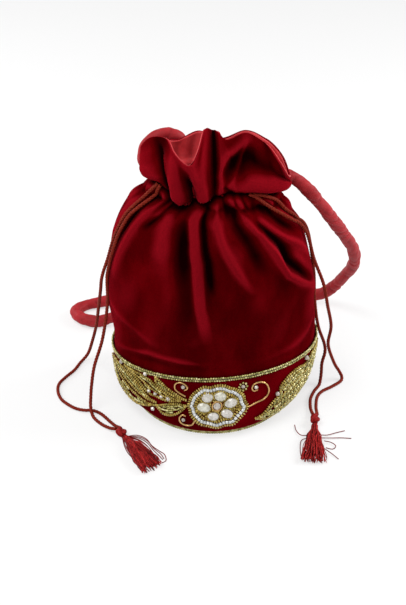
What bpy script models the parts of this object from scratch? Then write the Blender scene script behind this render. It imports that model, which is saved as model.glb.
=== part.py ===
"""Potli bag: a velvet drawstring pouch with a gathered neck, a ruffled heading, a beaded border,
a ruched tubular handle and two drawstrings whose strands end in knots with tassels.

Lengths are in millimetres and become metres in to_object. X runs to the right of the front,
Y away from the front and Z up. The origin is the middle of the base, on the surface it stands on.
Bearings are degrees round the bag: 0 is the front, 90 the right, 180 the back, -90 the left.
"""
import math

import bmesh
import bpy
import numpy as np

MM = 0.001

# Cloth and clearances
GAP = 0.35
VELVET = 1.6
LINING = 0.8
BORDER_CLOTH = 1.2
LINING_SLACK = 1.0

# Base, border and piping
BASE_RADIUS = 70.5
BASE_THICKNESS = 1.8
BASE_PIPING_RADIUS = 2.2
BASE_PIPING_SIDES = 5
FOOT_RADIUS = 74.5
FOOT_BEVEL = 1.0
LOW_HEIGHT = 15.0
LOW_HALF_WIDTH = 85.0
LOW_HALF_DEPTH = 75.4
BELLY_HEIGHT = 28.0
BELLY_HALF_WIDTH = 90.5
BELLY_LEAN = 1.0
BELLY_HALF_DEPTH = 71.0
BORDER_HEIGHT = 54.0
BORDER_HALF_WIDTH = 92.5
BORDER_HALF_DEPTH = 64.5
BORDER_LEAN = 2.0
BORDER_TILT = 5.0
PIPING_WIDTH = 4.6
PIPING_RISE = 2.4
PIPING_SECTION = ((0.0, 0.0), (0.18, 1.0), (0.5, 0.72), (0.82, 1.0), (1.0, 0.0))

# Body, shoulder, its upper edge and neck: height, half width, half depth, lean, lift of the right
BODY_HEIGHT = 112.0
BODY_HALF_WIDTH = 92.5
BODY_HALF_DEPTH = 58.5
BODY_LEAN = -2.0
SHOULDER_HEIGHT = 172.0
SHOULDER_HALF_WIDTH = 83.0
SHOULDER_HALF_DEPTH = 49.5
SHOULDER_LEAN = -3.5
UPPER_HEIGHT = 197.0
UPPER_HALF_WIDTH = 69.5
UPPER_HALF_DEPTH = 38.0
UPPER_LEAN = -1.5
UPPER_SETBACK = 2.0
NECK_HEIGHT = 207.0
NECK_HALF_WIDTH = 57.0
NECK_HALF_DEPTH = 29.0
NECK_LEAN = 1.5
NECK_SETBACK = 4.0
NECK_TILT = -5.0

# Gathers: sixteen pleats, each with the length that it runs down the body and its boldness there
PLEATS = 16
PLEAT_DEPTH_NECK = 2.4
PLEAT_DEPTH_SHOULDER = 4.4
PLEAT_REACH = (40, 36, 44, 60, 90, 64, 84, 58, 96, 62, 88, 66, 92, 60, 44, 38)
PLEAT_SHARE = (0.2, 0.2, 0.2, 0.3, 0.9, 0.7, 1.1, 0.7, 1.2, 0.8, 1.1, 0.7, 0.9, 0.4, 0.25, 0.2)
PLEAT_RUN_IN = 12.0
PLEAT_FAN = 9.0
SIDE_EASE = 0.65
FOLD_BOLDNESS = 1.25

# Bold folds of the front, by hand: half width, then height, place in pleats and depth down the cloth
FOLDS = (
    (6.0, ((207, -0.85, 1.0), (190, -0.5, 4.4), (166, -0.27, 5.2), (135, -0.25, 3.6), (98, -0.2, 0))),
    (8.5, ((207, -1.45, -1.0), (190, -1.0, -5.0), (166, -0.72, -4.4), (126, -0.8, -1.6), (104, -0.8, 0))),
    (4.5, ((207, -0.4, -1.0), (190, -0.2, -4.0), (166, 0.0, -3.6), (148, 0.05, -1.5), (136, 0.1, 0))),
    (6.5, ((207, 0.0, 1.5), (190, 0.33, 4.4), (172, 0.58, 4.6), (158, 0.8, 3.0), (138, 1.0, 0))),
    (7.0, ((207, 0.5, -1.0), (192, 1.1, -3.4), (172, 1.3, -2.4), (150, 1.5, 0))),
    (6.0, ((207, 1.1, 1.5), (200, 1.45, 4.4), (190, 1.76, 6.0), (175, 1.95, 6.6), (162, 2.08, 6.4),
           (148, 2.25, 5.4), (137, 2.65, 3.6), (120, 3.4, 1.6), (108, 3.7, 0))),
    (5.5, ((207, 1.35, -1.0), (193, 2.0, -3.0), (182, 2.2, -4.6), (171, 2.38, -5.6), (157, 2.5, -5.6),
           (146, 2.78, -4.4), (132, 3.05, -2.0), (120, 3.3, 0))),
    (7.5, ((207, 1.6, 1.0), (198, 2.05, 3.6), (188, 2.42, 4.6), (178, 2.72, 4.8), (166, 3.1, 4.2),
           (154, 3.4, 2.0), (140, 3.6, 0))),
    (6.5, ((207, -2.65, 1.0), (198, -2.62, 3.8), (188, -2.7, 4.4), (176, -2.73, 3.8), (160, -2.82, 2.4),
           (130, -2.9, 0))),
    (6.0, ((207, -1.9, -1.0), (197, -1.96, -3.2), (189, -2.15, -3.0), (178, -2.2, 0))),
)

# Rim of the heading, by hand from the front middle towards the right: pleat, x, y, height over the neck
RIM_ROUTE = (
    (0.0, -2, 13, 52), (0.5, 3, 3, 57), (1.2, 12, -2, 51), (2.1, 27, 1, 58), (3.0, 42, 1, 48),
    (3.5, 53, -7, 36), (4.0, 62, -11, 24), (4.5, 66, -3, 21), (5.1, 61, 9, 30), (6.0, 46, 24, 40),
    (7.1, 24, 36, 44), (8.0, 3, 33, 41), (8.9, -15, 37, 43), (9.8, -30, 33, 36), (10.7, -44, 26, 40),
    (11.6, -57, 15, 36), (12.5, -61, 4, 40), (13.2, -51, -1, 51), (13.7, -39, -10, 53),
    (14.2, -34, -27, 48), (14.8, -22, -33, 45), (15.2, -14, -24, 47), (15.6, -7, -2, 57),
)
HEADING_RISE = 20.0
HEADING_FLARE = 5.0
RIM_WAVE_FADE = 0.7

# Mesh columns and levels
COLUMNS = 32
BORDER_LEVELS = (0.0, 0.14, 0.3, 0.5, 0.74, 1.0)
OUTER_LEVELS = (0.08, 0.2, 0.34, 0.5, 0.65, 0.79, 0.91, 1.0)
INNER_LEVELS = (14.0, 56.0, 165.0, 194.0)
HEADING_LEVELS = (1 / 3, 2 / 3, 1.0)

# Cords
STRING_DIAMETER = 3.2
HANDLE_DIAMETER = 12.0
STRAND_GAP = 0.55
FLOOR_GAP = 0.2
LONGEST_STEP = 3.0
RIDGE_SEARCH = 5.0
SHARPEST_TURN = 34.0
KNOT_LENGTH = 12.0
KNOT_DIAMETER = 9.6
KNOT_SIDES = 8
KNOT_PLACES = (0.06, 0.24, 0.41, 0.59, 0.76, 0.94)
TASSEL_LENGTH = 50.0
TASSEL_WIDTH = 24.0
TASSEL_HEIGHT = 9.0
TASSEL_FLUTES = 6

# Tassel stations: place along it, shares of the full width and height, depth of the flutes
TASSEL_STATIONS = (
    (0.0, 0.2, 0.54, 0.0), (0.06, 0.29, 0.78, 0.0), (0.16, 0.26, 0.7, 0.0), (0.36, 0.55, 1.0, 0.10),
    (0.68, 0.82, 0.9, 0.14), (1.0, 1.0, 0.6, 0.16),
)

# Routes over the cloth: bearing, height, lift off the pleats; then free points x, y, z, by hand
LEFT_REAR_OVER = ((-62, 206, 2.4), (-68.5, 200, 2.2), (-71, 191, 2.2), (-72.5, 179, 2.2), (-75, 166, 2.2),
                  (-78, 150, 2.4))
LEFT_REAR_FREE = (
    (-98, -12, 130), (-101, -2, 108), (-105, 12, 80), (-109.5, 24, 50), (-115, 31, 26), (-120, 35, 9),
    (-126, 32, 1.8), (-132, 18, 1.8), (-140, 6, 1.8), (-145, -4, 1.8), (-145, -15, 1.8),
    (-141, -26, 1.8), (-134, -34, 1.8), (-126, -40, 1.8), (-118, -42.5, 1.8), (-110, -43, 1.8),
    (-102, -48, 1.8), (-93, -59, 1.8), (-88, -65.5, 2.6),
)
LEFT_FRONT_OVER = ((-55, 206, 2.4), (-62.5, 200, 2.2), (-65.5, 192, 2.2), (-67, 180, 2.2), (-69, 166, 2.2),
                   (-72, 150, 2.2), (-76, 130, 2.2), (-79, 100, 2.6))
LEFT_FRONT_FREE = (
    (-100, -18, 66), (-108, -26, 41), (-111, -32, 24), (-112, -37, 13), (-112, -43, 6.3),
    (-110, -50, 2.6), (-106.5, -56, 1.8), (-100, -63, 1.8), (-93, -68.5, 2.6),
)
RIGHT_FRONT_OVER = ((50, 206.5, 2.4), (61, 202, 2.2), (70, 195, 2.2), (78, 186, 2.2), (83.5, 174, 2.4),
                    (87, 160, 2.6), (88, 142, 3.4))
RIGHT_FRONT_FREE = (
    (99, -9, 120), (104, -8, 96), (109, -4, 70), (108, 0, 46), (115, 4, 22), (121, 7, 9),
    (124, 6, 2.6), (122, 0, 1.8), (113, -8, 1.8), (104, -14.5, 1.8), (98.5, -23, 1.8),
    (96.3, -37, 1.8), (96.3, -46, 2.6),
)
RIGHT_REAR_OVER = ((62, 206.5, 2.4), (72, 200, 2.2), (80, 192, 2.2), (87, 182, 2.2), (92.5, 168, 2.2),
                   (96, 150, 2.4), (97, 120, 2.4), (98, 90, 2.6))
RIGHT_REAR_FREE = (
    (98, 6, 64), (105, 8, 42), (106.5, 8, 31), (104, 5, 20), (103.6, 2, 9), (102, -4, 2.4),
    (99.5, -9, 1.8), (96, -15, 1.8), (92, -26, 1.8), (91, -38, 1.8), (91.7, -46, 2.6),
)
LEFT_KNOT = (-82, -77)
LEFT_TASSEL_AIM = (29, -44)
RIGHT_KNOT = (93.5, -59)
RIGHT_TASSEL_AIM = (-5.5, -57)
HANDLE_START = (-124, 207, 4.6)
HANDLE_FREE = (
    (-54, 32, 211), (-60, 37, 220), (-59, 39.5, 230), (-53, 41, 238), (-43, 43, 242), (-32, 45, 239),
    (-27, 50, 229),
    (-24, 57, 212), (-25, 64, 190), (-31, 71, 160), (-43, 78, 122), (-59, 85, 80), (-76, 91, 42),
    (-92, 94, 16), (-106, 93, 7.4), (-119, 92, 6.2), (-131, 97, 6.2), (-138, 108, 6.2),
    (-131, 119, 6.2), (-117, 125, 6.2), (-98, 130, 6.2), (-60, 135, 6.2), (0, 138, 6.2),
    (60, 139, 6.2), (94, 138, 6.6), (112, 133, 11), (124, 125, 25), (132, 112, 46), (138, 97, 68),
    (138, 83, 87), (133, 67, 110), (121, 50, 136), (108, 35, 161), (96, 27, 181), (85, 21, 197.5),
    (73, 23.5, 208), (64, 22.5, 213), (58.5, 19.5, 214.5),
)

# Beadwork on the border: distance along it from the front middle, height, then sizes
BEAD_SEAT = 0.7
BROAD_SEAT = 0.95
BEAD_RISE = 1.8
FLOWER_PLACE = (4.5, 31.0)
FLOWER_HALF_WIDTH = 26.0
SPRAY_SCALE = FLOWER_HALF_WIDTH / 26.0
FLOWER_HALF_HEIGHT = 19.8
FLOWER_SCALLOP = 0.045
FLOWER_RINGS = (("flower_gold_ring", 0.0, 3.0, "gold_beads"), ("flower_white_ring", 3.4, 2.4, "white_beads"),
                ("flower_inner_ring", 6.4, 2.2, "gold_beads"))
PETALS = ((-4.0, 37.4, 4.2, 3.5, 25), (6.4, 37.8, 4.4, 3.5, -8), (14.4, 32.4, 4.4, 3.0, 20),
          (12.0, 25.8, 4.0, 2.8, -30), (2.4, 23.6, 3.6, 2.7, 0), (-5.6, 29.2, 4.2, 3.2, -12))
EYE_PLACE = (3.6, 30.4)
EYE_RADIUS = 1.9
EYE_RING_RADIUS = 2.9
EYE_RING_WIDTH = 0.9
EYE_RING_POINTS = 10
FLORET = (31.0, 48.0, 3.8)
SCROLL_WIDTH = 1.7
SCROLL_RIGHT = ((33.5, 26.4), (40, 28.4), (47.6, 31.2), (51.6, 36.4), (49, 43), (43.6, 46.4), (37.6, 45.6),
                (36, 41.6))
SCROLL_UPPER = ((-24.8, 40.6), (-30, 42.6), (-33.6, 47.4), (-30.4, 51.2), (-25.2, 50.2))
SCROLL_LOWER = ((-18.2, 13.2), (-22, 10.6), (-27.2, 11.6), (-29.8, 16.6), (-27.6, 20.6))
CRYSTALS = ((40.2, 41.6), (-27.8, 46.8), (-24.9, 16.2), (-56.0, 19.4), (53.5, 32.5), (-60.0, 50.6))
CRYSTAL_RADIUS = 1.9
CRYSTAL_RISE = 2.2
STONE_RISE = 2.6
LEAVES = (
    ("leaf_left_lower", ((-25.5, 29.4, 2), (-33, 26, 9), (-42, 24.2, 12), (-49, 24.2, 8), (-53, 25.4, 2))),
    ("leaf_left_middle", ((-27, 34, 2), (-37, 34.6, 3.6), (-47, 36.8, 6), (-57, 41, 9), (-66, 45, 10),
                          (-75, 48.6, 7), (-82, 51, 2))),
    ("leaf_left_upper", ((-30, 37.8, 2), (-37, 40.6, 5), (-44.7, 44.2, 6), (-50.5, 48, 6), (-54.5, 51.2, 2))),
    ("leaf_left_far", ((-57, 25.4, 2), (-64, 26.6, 8), (-73, 30.4, 15), (-84, 35.4, 18), (-95, 40.4, 15),
                       (-104, 44.6, 8.6), (-111, 48, 2))),
    ("paisley_right", ((44, 13.5, 2), (51, 15.6, 8), (59, 20, 16), (67, 25, 25), (77, 29.4, 30),
                       (87, 33.4, 31), (97, 38, 26), (107, 43, 16), (117, 48, 2))),
)
BACK_LEAVES = (
    ("leaf_back_right", ((205, 29, 2), (190, 26, 11), (174, 30, 15), (158, 36, 12), (146, 42, 2))),
    ("leaf_back_left", ((-197, 29, 2), (-182, 26, 11), (-166, 30, 15), (-150, 36, 12), (-138, 42, 2))),
)
BACK_FLOWER_INSET = 8.0
BACK_FLOWER_WIDTH = 8.0
BACK_EYE_RADIUS = 5.0
LEAF_STEPS = 2
LEAF_TIP_WIDTH = 1.6
BROAD_WIDTH = 16.0

# Colours: red, green, blue, roughness, metallic
COLOURS = {
    "velvet": (0.17, 0.0, 0.008, 0.9, 0.0),
    "satin": (0.40, 0.03, 0.035, 0.4, 0.0),
    "string": (0.22, 0.03, 0.02, 0.7, 0.0),
    "tassel": (0.34, 0.012, 0.02, 0.6, 0.0),
    "gold_beads": (0.42, 0.31, 0.08, 0.35, 0.6),
    "pale_beads": (0.62, 0.52, 0.26, 0.25, 0.5),
    "white_beads": (0.75, 0.75, 0.74, 0.25, 0.2),
    "stone": (0.80, 0.80, 0.72, 0.12, 0.0),
    "wire": (0.68, 0.40, 0.16, 0.3, 0.9),
}


def clear_scene():
    for old in list(bpy.data.objects):
        bpy.data.objects.remove(old, do_unlink=True)


def material_for(name, colour):
    red, green, blue, roughness, metallic = COLOURS[colour]
    material = bpy.data.materials.new(name + "_" + colour)
    material.use_nodes = True
    shader = material.node_tree.nodes["Principled BSDF"]
    shader.inputs["Base Color"].default_value = (red, green, blue, 1.0)
    shader.inputs["Roughness"].default_value = roughness
    shader.inputs["Metallic"].default_value = metallic
    return material


def to_object(name, mesh_data, colour):
    """Link one closed body; points are in millimetres."""
    points, faces = mesh_data
    mesh = bpy.data.meshes.new(name)
    body = bmesh.new()
    corners = [body.verts.new([value * MM for value in point]) for point in points]
    for face in faces:
        body.faces.new([corners[index] for index in face])
    bmesh.ops.triangulate(body, faces=body.faces)
    bmesh.ops.recalc_face_normals(body, faces=body.faces)
    body.to_mesh(mesh)
    body.free()
    mesh.shade_smooth()
    mesh.set_sharp_from_angle(angle=math.radians(60))
    mesh.materials.append(material_for(name, colour))
    made = bpy.data.objects.new(name, mesh)
    bpy.context.scene.collection.objects.link(made)
    return made


class Skin:
    """A mesh built ring by ring; a ring may have half or twice the corners of the one before."""

    def __init__(self):
        self.points = []
        self.faces = []
        self.last = None

    def add_ring(self, ring):
        start = len(self.points)
        self.points.extend(tuple(point) for point in ring)
        indices = list(range(start, start + len(ring)))
        if self.last is not None:
            self.join(self.last, indices)
        self.last = indices

    def join(self, low, high):
        if len(low) == len(high):
            self.join_equal(low, high)
        elif len(high) == 2 * len(low):
            self.join_double(low, high, False)
        else:
            self.join_double(high, low, True)

    def join_equal(self, low, high):
        count = len(low)
        for index in range(count):
            following = (index + 1) % count
            self.faces.append((low[index], low[following], high[following], high[index]))

    def join_double(self, coarse, fine, flipped):
        count = len(coarse)
        for index in range(count):
            following = (index + 1) % count
            middle = fine[2 * index + 1]
            end = fine[(2 * index + 2) % len(fine)]
            triangles = (
                (coarse[index], middle, fine[2 * index]),
                (coarse[index], coarse[following], middle),
                (coarse[following], end, middle),
            )
            self.faces.extend(tri[::-1] if flipped else tri for tri in triangles)

    def cap(self, ring_indices, centre):
        tip = len(self.points)
        self.points.append(tuple(centre))
        count = len(ring_indices)
        for index in range(count):
            self.faces.append((ring_indices[(index + 1) % count], ring_indices[index], tip))

    def result(self):
        return self.points, self.faces


def smooth_steps(positions, values, query):
    """A smooth curve through the given values, with no overshoot between them."""
    positions = np.asarray(positions, float)
    values = np.asarray(values, float)
    runs = np.diff(positions)
    slopes = np.diff(values, axis=0) / runs.reshape(-1, *([1] * (values.ndim - 1)))
    tangents = np.zeros_like(values)
    tangents[0], tangents[-1] = slopes[0], slopes[-1]
    before, after = slopes[:-1], slopes[1:]
    same_way = before * after > 0
    with np.errstate(divide="ignore", invalid="ignore"):
        tangents[1:-1] = np.where(same_way, 2 * before * after / (before + after), 0.0)
    query = np.clip(query, positions[0], positions[-1])
    index = int(np.clip(np.searchsorted(positions, query) - 1, 0, len(runs) - 1))
    run = runs[index]
    part = (query - positions[index]) / run
    blend = part * part * (3 - 2 * part)
    lead_in = part * (1 - part) ** 2 * run
    lead_out = part * part * (part - 1) * run
    return (values[index] * (1 - blend) + values[index + 1] * blend
            + tangents[index] * lead_in + tangents[index + 1] * lead_out)


BODY_START = BASE_THICKNESS + GAP
SEAM_HEIGHT = 2 * BASE_PIPING_RADIUS + 2 * GAP
PROFILE = (
    (SEAM_HEIGHT, FOOT_RADIUS, FOOT_RADIUS, 0.0, 0.0, 0.0),
    (LOW_HEIGHT, LOW_HALF_WIDTH, LOW_HALF_DEPTH, 0.0, 0.0, 0.2 * BORDER_TILT),
    (BELLY_HEIGHT, BELLY_HALF_WIDTH, BELLY_HALF_DEPTH, BELLY_LEAN, 0.0, 0.5 * BORDER_TILT),
    (BORDER_HEIGHT, BORDER_HALF_WIDTH, BORDER_HALF_DEPTH, BORDER_LEAN, 0.0, BORDER_TILT),
    (BODY_HEIGHT, BODY_HALF_WIDTH, BODY_HALF_DEPTH, BODY_LEAN, 0.0, 0.0),
    (SHOULDER_HEIGHT, SHOULDER_HALF_WIDTH, SHOULDER_HALF_DEPTH, SHOULDER_LEAN, 0.0, 0.0),
    (UPPER_HEIGHT, UPPER_HALF_WIDTH, UPPER_HALF_DEPTH, UPPER_LEAN, UPPER_SETBACK, NECK_TILT),
    (NECK_HEIGHT, NECK_HALF_WIDTH, NECK_HALF_DEPTH, NECK_LEAN, NECK_SETBACK, NECK_TILT),
)


def section(height):
    """Half width, half depth, middle x, middle y and tilt of the oval at a height."""
    stations = np.asarray(PROFILE, float)
    return smooth_steps(stations[:, 0], stations[:, 1:], height)


def thread_bearings(width, depth, shares):
    """Bearings, in radians, of lengthways threads that are spread evenly along the oval."""
    fine = np.linspace(0, 2 * math.pi, 721)
    pace = np.hypot(width * np.cos(fine), depth * np.sin(fine))
    walked = np.concatenate([[0.0], np.cumsum((pace[1:] + pace[:-1]) / 2)])
    return np.interp(np.asarray(shares) % 1.0, walked / walked[-1], fine)


def girth_at(height):
    width, depth = section(height)[:2]
    fine = np.linspace(0, 2 * math.pi, 721)
    return float(np.hypot(np.diff(width * np.sin(fine)), np.diff(depth * np.cos(fine))).sum())


def gather(height):
    """Zero at the border, one at the neck."""
    share = (height - BORDER_HEIGHT) / (NECK_HEIGHT - BORDER_HEIGHT)
    return float(np.clip(share, 0.0, 1.0))


def around_pleats(values, place):
    """A value for every thread from one value a pleat, given at the pleats' ridges."""
    closed = np.append(values, values[0])
    return np.interp(place % PLEATS, np.arange(PLEATS + 1), closed)


def pleat_depths(height, shares):
    """How far the cloth stands out at each thread; a ridge lies on the front middle."""
    place = np.asarray(shares) * PLEATS
    below_neck = NECK_HEIGHT - height
    fade = np.clip(1 - below_neck / around_pleats(PLEAT_REACH, place), 0.0, 1.0)
    fade = fade * fade * (3 - 2 * fade)
    growth = np.clip(below_neck / (NECK_HEIGHT - SHOULDER_HEIGHT), 0.0, 1.0)
    run_in = np.clip(below_neck / PLEAT_RUN_IN, 0.0, 1.0)
    boldness = 1 + (around_pleats(PLEAT_SHARE, place) - 1) * run_in
    depth = (PLEAT_DEPTH_NECK + (PLEAT_DEPTH_SHOULDER - PLEAT_DEPTH_NECK) * growth) * boldness
    pleats = np.cos(2 * math.pi * place) * depth * fade
    return (pleats + FOLD_BOLDNESS * fold_depths(height, place)) * seam_ease(shares)


def fold_depths(height, place):
    """Ridges and valleys drawn by hand, each a soft bell across its own line down the cloth."""
    total = np.zeros(len(place))
    pleat_width = girth_at(height) / PLEATS
    for half_width, line in FOLDS:
        heights, places, depths = np.array(line[::-1], float).T
        depth = np.interp(height, heights, depths, left=0.0)
        if depth == 0.0:
            continue
        away = place - np.interp(height, heights, places)
        away -= PLEATS * np.round(away / PLEATS)
        total += depth * np.exp(-(away * pleat_width / half_width) ** 2)
    return total


def seam_ease(shares):
    """Pleats are shallower at the side seams, where the drawn neck turns back on itself."""
    return 1 - SIDE_EASE * np.abs(np.sin(2 * math.pi * np.asarray(shares))) ** 6


def deepest_pleat(height):
    return float(np.abs(pleat_depths(height, np.linspace(0, 1, 8 * PLEATS, endpoint=False))).max())


def cloth_bearings(height, shares):
    """Bearings, in radians, of the cloth's threads at a height; they fan out below the neck."""
    width, depth = section(height)[:2]
    bearings = thread_bearings(width, depth, shares)
    fan = math.radians(PLEAT_FAN) * math.sin(math.pi * gather(height))
    return bearings + fan * np.sin(bearings)


def wall_ring(height, shares, inset=0.0, pleated=True):
    """Points of the outer wall at a height, moved in by an inset measured level."""
    shares = np.asarray(shares)
    width, depth, middle_x, middle_y, tilt = section(height)
    bearings = cloth_bearings(height, shares)
    across = width * np.sin(bearings)
    along = -depth * np.cos(bearings)
    normal = np.stack([np.sin(bearings) / width, -np.cos(bearings) / depth], 1)
    normal /= np.linalg.norm(normal, axis=1, keepdims=True)
    out = pleat_depths(height, shares) if pleated else np.zeros(len(shares))
    x = middle_x + across + normal[:, 0] * (out - inset)
    y = middle_y + along + normal[:, 1] * (out - inset)
    z = height + tilt * across / width
    return np.stack([x, y, z], 1)


def ridge_rise(bearing, height):
    """How far the cloth's ridges stand out near a bearing."""
    shares = np.linspace(0, 1, 16 * PLEATS, endpoint=False)
    away = np.degrees(cloth_bearings(height, shares)) - bearing
    away -= 360 * np.round(away / 360)
    near = np.abs(away) < RIDGE_SEARCH
    return max(0.0, float(pleat_depths(height, shares)[near].max()))


def on_wall(bearing, height, lift):
    """A point over the pleats' ridges at a bearing in degrees, lifted off the cloth."""
    width, depth, middle_x, middle_y, tilt = section(height)
    angle = math.radians(bearing)
    normal = np.array([math.sin(angle) / width, -math.cos(angle) / depth])
    normal /= np.linalg.norm(normal)
    out = lift + ridge_rise(bearing, height)
    x = middle_x + width * math.sin(angle) + normal[0] * out
    y = middle_y - depth * math.cos(angle) + normal[1] * out
    return np.array([x, y, height + tilt * math.sin(angle)])


def column_shares(count):
    return np.arange(count) / count


def rim_points(count):
    """The rim as a smooth closed curve through its hand-set points."""
    route = np.asarray(RIM_ROUTE, float)
    places = np.concatenate([route[:, 0] - PLEATS, route[:, 0], route[:, 0] + PLEATS])
    points = np.concatenate([route[:, 1:]] * 3) + np.array([0.0, 0.0, NECK_HEIGHT])
    return np.array([smooth_steps(places, points, share * PLEATS) for share in column_shares(count)])


def heading_rings():
    """The ruffle above the neck: rises from the gathers, then opens out to the rim."""
    shares = column_shares(2 * COLUMNS)
    neck = wall_ring(NECK_HEIGHT, shares)
    rim = rim_points(2 * COLUMNS)
    outward = neck - wall_ring(NECK_HEIGHT, shares, 1.0)
    outward[:, 2] = 0.0
    guide = neck + np.array([0.0, 0.0, HEADING_RISE]) + outward * HEADING_FLARE
    rings = []
    for level in HEADING_LEVELS:
        point = neck * (1 - level) ** 2 + guide * 2 * level * (1 - level) + rim * level * level
        wave = np.cos(2 * math.pi * shares * PLEATS) * PLEAT_DEPTH_NECK * seam_ease(shares)
        fade = level * (1 - level) * 4 * RIM_WAVE_FADE
        rings.append(point + outward * (wave * fade).reshape(-1, 1))
    return rings


def body_heights():
    """Heights of the pleated outer rings from the border's top to the neck."""
    return [BORDER_HEIGHT + PIPING_WIDTH + share * (NECK_HEIGHT - BORDER_HEIGHT - PIPING_WIDTH)
            for share in OUTER_LEVELS]


def border_heights():
    return [SEAM_HEIGHT + share * (BORDER_HEIGHT - SEAM_HEIGHT) for share in BORDER_LEVELS]


def plain_heights():
    """Heights of the outer rings below the pleats: the border's and the top of its piping."""
    return border_heights() + [BORDER_HEIGHT + PIPING_WIDTH]


def upper_grid():
    """Every ring of the pleated outer wall, from above the border to the rim."""
    shares = column_shares(2 * COLUMNS)
    return [wall_ring(height, shares) for height in body_heights()] + heading_rings()


def inward(grid):
    """Unit vectors into the bag at each point of a grid of rings."""
    grid = np.asarray(grid)
    around = np.roll(grid, -1, axis=1) - np.roll(grid, 1, axis=1)
    upward = np.gradient(grid, axis=0)
    normal = np.cross(upward, around)
    return normal / np.linalg.norm(normal, axis=2, keepdims=True)


def inner_rings(inset):
    """The wall moved in by an inset: the heading and neck, then a plain bag hung inside the pleats."""
    grid = np.asarray(upper_grid())
    moved = grid + inward(grid) * inset
    first = len(OUTER_LEVELS) - 1
    rings = [moved[row] for row in range(len(grid) - 1, first - 1, -1)]
    shares = column_shares(COLUMNS)
    for height in reversed(INNER_LEVELS):
        slack = deepest_pleat(height) + LINING_SLACK if height > BORDER_HEIGHT else 0.0
        rings.append(wall_ring(height, shares, inset + slack, pleated=False))
    floor = BODY_START + inset
    angles = 2 * math.pi * shares
    radius = BASE_RADIUS - GAP - inset
    rings.append(np.stack([radius * np.sin(angles), -radius * np.cos(angles),
                           np.full(COLUMNS, floor)], 1))
    return rings


def foot_rings():
    """The bottom of the pouch, stepped in above the piping that runs round the base seam."""
    angles = 2 * math.pi * column_shares(COLUMNS)
    rings = []
    for radius, height in ((BASE_RADIUS - FOOT_BEVEL, BODY_START), (BASE_RADIUS - GAP, SEAM_HEIGHT - GAP)):
        rings.append(np.stack([radius * np.sin(angles), -radius * np.cos(angles),
                               np.full(COLUMNS, height)], 1))
    return rings


def velvet_body():
    skin = Skin()
    shares = column_shares(COLUMNS)
    for ring in foot_rings():
        skin.add_ring(ring)
    first_ring = list(range(COLUMNS))
    for height in plain_heights():
        skin.add_ring(wall_ring(height, shares))
    for ring in upper_grid():
        skin.add_ring(ring)
    for ring in inner_rings(VELVET):
        skin.add_ring(ring)
    skin.cap(skin.last[::-1], (0, 0, BODY_START + VELVET))
    skin.cap(first_ring, (0, 0, BODY_START))
    return to_object("velvet_body", skin.result(), "velvet")


def satin_lining():
    """A second bag of thin satin that hangs inside the velvet and is turned out at the rim."""
    skin = Skin()
    outer = inner_rings(VELVET + GAP)
    inner = inner_rings(VELVET + GAP + LINING)
    for ring in reversed(outer):
        skin.add_ring(ring)
    first_ring = list(range(COLUMNS))
    for ring in inner:
        skin.add_ring(ring)
    skin.cap(skin.last[::-1], (0, 0, BODY_START + VELVET + GAP + LINING))
    skin.cap(first_ring, (0, 0, BODY_START + VELVET + GAP))
    return to_object("satin_lining", skin.result(), "satin")


def base_panel():
    """The flat round bottom panel."""
    skin = Skin()
    angles = 2 * math.pi * column_shares(COLUMNS)
    for height in (0.0, BASE_THICKNESS):
        skin.add_ring(np.stack([BASE_RADIUS * np.sin(angles), -BASE_RADIUS * np.cos(angles),
                                np.full(COLUMNS, height)], 1))
    skin.cap(list(range(COLUMNS)), (0, 0, 0))
    skin.cap(skin.last[::-1], (0, 0, BASE_THICKNESS))
    return to_object("base_panel", skin.result(), "velvet")


def closed_band(name, loops, colour):
    """A ring-shaped body from loops that follow one another round its section."""
    skin = Skin()
    for loop in loops:
        skin.add_ring(loop)
    skin.join(skin.last, list(range(len(loops[0]))))
    return to_object(name, skin.result(), colour)


def border_band():
    """The velvet border that carries the beadwork, laid over the foot of the pouch."""
    shares = column_shares(COLUMNS)
    heights = border_heights()
    outer = [wall_ring(height, shares, -GAP - BORDER_CLOTH) for height in heights]
    inner = [wall_ring(height, shares, -GAP) for height in reversed(heights)]
    return closed_band("border_band", outer + inner, "velvet")


def border_piping():
    """Two rows of bugle beads sewn over the border's top edge."""
    shares = column_shares(COLUMNS)
    start = BORDER_HEIGHT + GAP
    loops = [wall_ring(start + up * (PIPING_WIDTH - 2 * GAP), shares, -GAP - rise * PIPING_RISE)
             for up, rise in PIPING_SECTION]
    return closed_band("border_piping", loops, "pale_beads")


def base_piping():
    """The beaded cord round the base seam."""
    middle = BASE_RADIUS + GAP + BASE_PIPING_RADIUS
    angles = 2 * math.pi * column_shares(COLUMNS)
    loops = []
    for side in range(BASE_PIPING_SIDES):
        turn = 2 * math.pi * (side + 0.5) / BASE_PIPING_SIDES
        radius = middle + BASE_PIPING_RADIUS * math.cos(turn)
        height = BASE_PIPING_RADIUS * (1 + math.sin(turn)) + FLOOR_GAP
        loops.append(np.stack([radius * np.sin(angles), -radius * np.cos(angles),
                               np.full(COLUMNS, height)], 1))
    return closed_band("base_piping", loops, "gold_beads")


def border_grid():
    shares = column_shares(COLUMNS)
    return np.array([wall_ring(height, shares, -GAP - BORDER_CLOTH) for height in border_heights()])


BORDER_GRID = border_grid()
BORDER_GIRTH = girth_at(BELLY_HEIGHT)


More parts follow.
